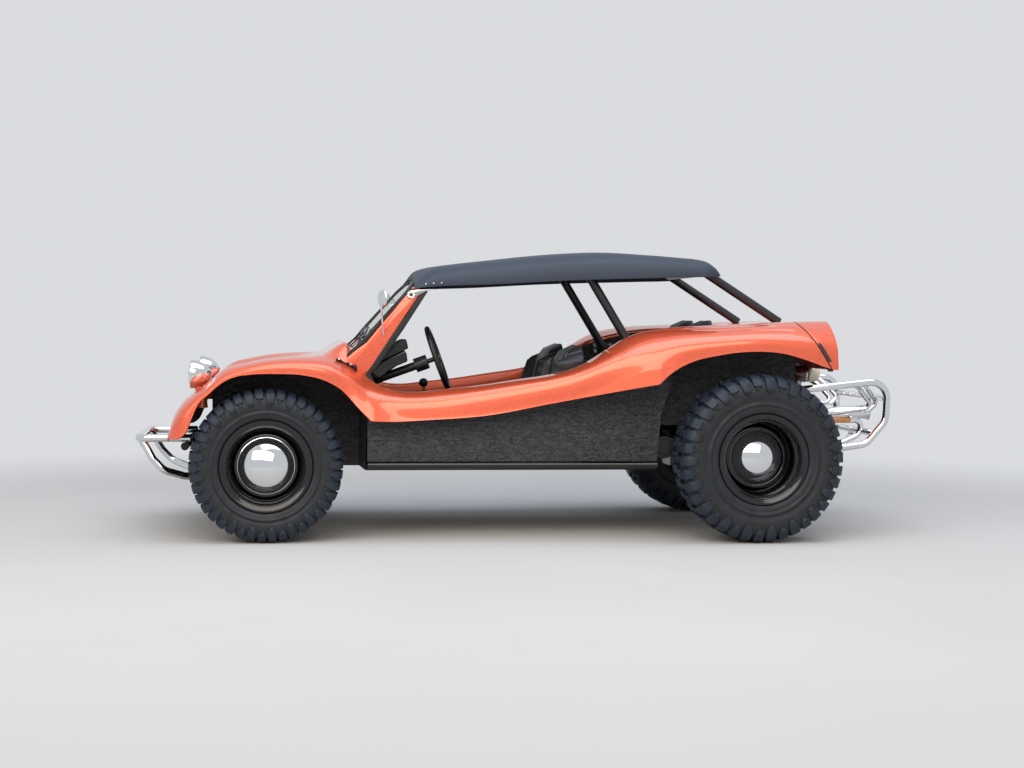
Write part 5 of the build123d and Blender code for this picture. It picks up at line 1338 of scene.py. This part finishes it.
# Hood hinge: an eye of the lid between two ears of the body, on a pin
HINGE = (-304, 761)
ears, tongues = [], []
for y in (188, 232):
    ears.append(turned_about([(-7, 0), (-7, 9), (7, 9), (7, 0)], (HINGE[0], y, HINGE[1]), (0, 1, 0), 24))
    ears.append(block(HINGE[0] - 7, HINGE[0] + 7, y - 7, y + 7, 742, HINGE[1]))
ears.append(turned_about([(-34, 0), (-34, 5), (34, 5), (34, 0)], (HINGE[0], 210, HINGE[1]), (0, 1, 0), 20))
tongues.append(turned_about([(-14, 5.6), (-14, 9), (14, 9), (14, 5.6)], (HINGE[0], 210, HINGE[1]),
                            (0, 1, 0), 24, closed=True))
tongues.append(block(HINGE[0] + 8, -262, 196, 224, 755, 759))
fitted("hinge_ears", both_sides(joined(ears)), ZINC, "root", "steel", crisp=40)
fitted("hinge_tongues", both_sides(joined(tongues)), ZINC, "hood", "steel", crisp=40)


# CAD nodes that stay: each in its finish

def finished(material, *names):
    for name in names:
        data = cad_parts[name].data
        data.materials.clear()
        data.materials.append(material)


finished(GLASS, "windscreen_glass")
finished(SIDE_COAT, "side_panel_left", "side_panel_right", "front_bulkhead", "rear_tub")
finished(CHASSIS, "floor_pan", "fuel_tank", "torsion_tube", "half_shafts", "front_axle_beam", "front_arms")
finished(TUBE_BLACK, "steering_column", "shock_absorbers", "fan_shroud")
finished(RIM_BLACK, "sill_tubes")
finished(PLASTIC, "dashboard", "steering_wheel", "gear_lever")
finished(ZINC, "seat_rails", "tie_rods")
finished(IRON, "knuckle_left", "knuckle_right")
finished(ALLOY, "gearbox", "engine_block")


# Floor, light and camera

BACKDROP = "DADCDF"
FADE = (2.6, 6.0)     # metres from the middle, over which the floor becomes the backdrop


def background_rays(tree):
    """1 for the rays that show the background: from the camera, in metal and through glass."""
    path = add(tree, "ShaderNodeLightPath").outputs
    shown = add(tree, "ShaderNodeMath", {0: path["Is Camera Ray"], 1: path["Is Glossy Ray"]},
                operation="MAXIMUM").outputs[0]
    return add(tree, "ShaderNodeMath", {0: shown, 1: path["Is Transmission Ray"]},
               operation="MAXIMUM").outputs[0]


def floor_finish():
    # Pale matt concrete that fades into the backdrop's tone away from the car
    mat, tree, where = new_material("pale_plain_floor")
    base = ramp(tree, noise(tree, where, 900, 3.0), [(0.3, "C6C3BE"), (0.7, "CCC9C5")])
    shader = shaded(tree, Base_Color=base, Roughness=0.85)
    away = add(tree, "ShaderNodeVectorMath", {0: where}, operation="LENGTH").outputs["Value"]
    fade = add(tree, "ShaderNodeMapRange", {"Value": away, "From Min": FADE[0], "From Max": FADE[1]},
               interpolation_type="SMOOTHSTEP").outputs["Result"]
    share = add(tree, "ShaderNodeMath", {0: fade, 1: background_rays(tree)},
                operation="MULTIPLY").outputs["Value"]
    tone = add(tree, "ShaderNodeEmission", {"Color": colour(BACKDROP)})
    mix = add(tree, "ShaderNodeMixShader", {0: share, 1: shader.outputs[0], 2: tone.outputs[0]})
    tree.links.new(mix.outputs[0],
                   next(n for n in tree.nodes if n.type == "OUTPUT_MATERIAL").inputs["Surface"])
    return mat


floor_net = grid([[(x, y, 0) for y in (-14000, 30000)] for x in (-22000, 26000)])
floor = mesh_piece("floor", *floor_net, floor_finish())

world = bpy.data.worlds.new("soft_day")
bpy.context.scene.world = world
world.use_nodes = True
sky_tree = world.node_tree
sky_tree.nodes.clear()
direction = add(sky_tree, "ShaderNodeTexCoord").outputs["Generated"]
height = add(sky_tree, "ShaderNodeSeparateXYZ", {"Vector": direction}).outputs["Z"]
band = add(sky_tree, "ShaderNodeMapRange", {"Value": height, "From Min": -0.2, "From Max": 0.9}).outputs[0]
sky = ramp(sky_tree, band, [(0.0, "8C9096"), (0.17, "A9ADB2"), (0.22, "D9DEE4"), (0.5, "E6EBF2"),
                            (1.0, "B9C9DD")])
# darker tone low behind the car, in its light alone
away = add(sky_tree, "ShaderNodeSeparateXYZ", {"Vector": direction}).outputs["Y"]
behind = add(sky_tree, "ShaderNodeMapRange", {"Value": away, "From Min": 0.15, "From Max": 0.45}).outputs[0]
lower = add(sky_tree, "ShaderNodeMapRange", {"Value": height, "From Min": 0.62, "From Max": 0.42}).outputs[0]
share = add(sky_tree, "ShaderNodeMath", {0: behind, 1: lower}, operation="MULTIPLY").outputs[0]
round_about = add(sky_tree, "ShaderNodeMix", {"Factor": share, "A": sky, "B": colour("5A4F47")},
                  data_type="RGBA").outputs["Result"]
light = add(sky_tree, "ShaderNodeBackground", {"Color": round_about, "Strength": 0.75})
plain_tone = add(sky_tree, "ShaderNodeBackground", {"Color": colour(BACKDROP), "Strength": 1.0})
both = add(sky_tree, "ShaderNodeMixShader", {0: background_rays(sky_tree), 1: light.outputs[0],
                                                    2: plain_tone.outputs[0]})
add(sky_tree, "ShaderNodeOutputWorld", {"Surface": both.outputs[0]})


def area_light(name, place, target, width, height, power, tint):
    data = bpy.data.lights.new(name, "AREA")
    data.shape = "RECTANGLE"
    data.size = width
    data.size_y = height
    data.energy = power
    data.color = colour(tint)[:3]
    obj = bpy.data.objects.new(name, data)
    obj.location = place
    obj.rotation_mode = "QUATERNION"
    obj.rotation_quaternion = (Vector(target) - Vector(place)).to_track_quat("-Z", "Y")
    bpy.context.collection.objects.link(obj)

area_light("sky_over_road", (-3.0, -9.0, 6.5), (0, 0, 0.5), 15, 6, 1000, "FFF4E6")
area_light("open_sky", (0.5, -1.5, 7.0), (0, 0, 0), 8, 5, 330, "E8F0FF")

lens_data = bpy.data.cameras.new("photo_camera")
camera = bpy.data.objects.new("photo_camera", lens_data)
bpy.context.collection.objects.link(camera)
bpy.context.scene.camera = camera
SENSOR_MM, LENS_MM = 36, 62.95
CAMERA_PLACE = (100.13, -9328.76, 1073.85)
YAW, DOWN, ROLL = 0.12488, 0.03512, 0.00786      # towards the rear, below level, clockwise
ahead = Vector((math.sin(YAW) * math.cos(DOWN), math.cos(YAW) * math.cos(DOWN), -math.sin(DOWN)))
level = Vector((math.cos(YAW), -math.sin(YAW), 0))
upright = level.cross(ahead)
across = math.cos(ROLL) * level + math.sin(ROLL) * upright
upward = -math.sin(ROLL) * level + math.cos(ROLL) * upright
lens_data.sensor_width = SENSOR_MM
lens_data.lens = LENS_MM
camera.rotation_mode = "QUATERNION"
camera.rotation_quaternion = Matrix((across, upward, -ahead)).transposed().to_quaternion()
camera.location = placed([CAMERA_PLACE])[0].tolist()
lens_data.dof.use_dof = False
bpy.context.scene.view_settings.view_transform = "Standard"
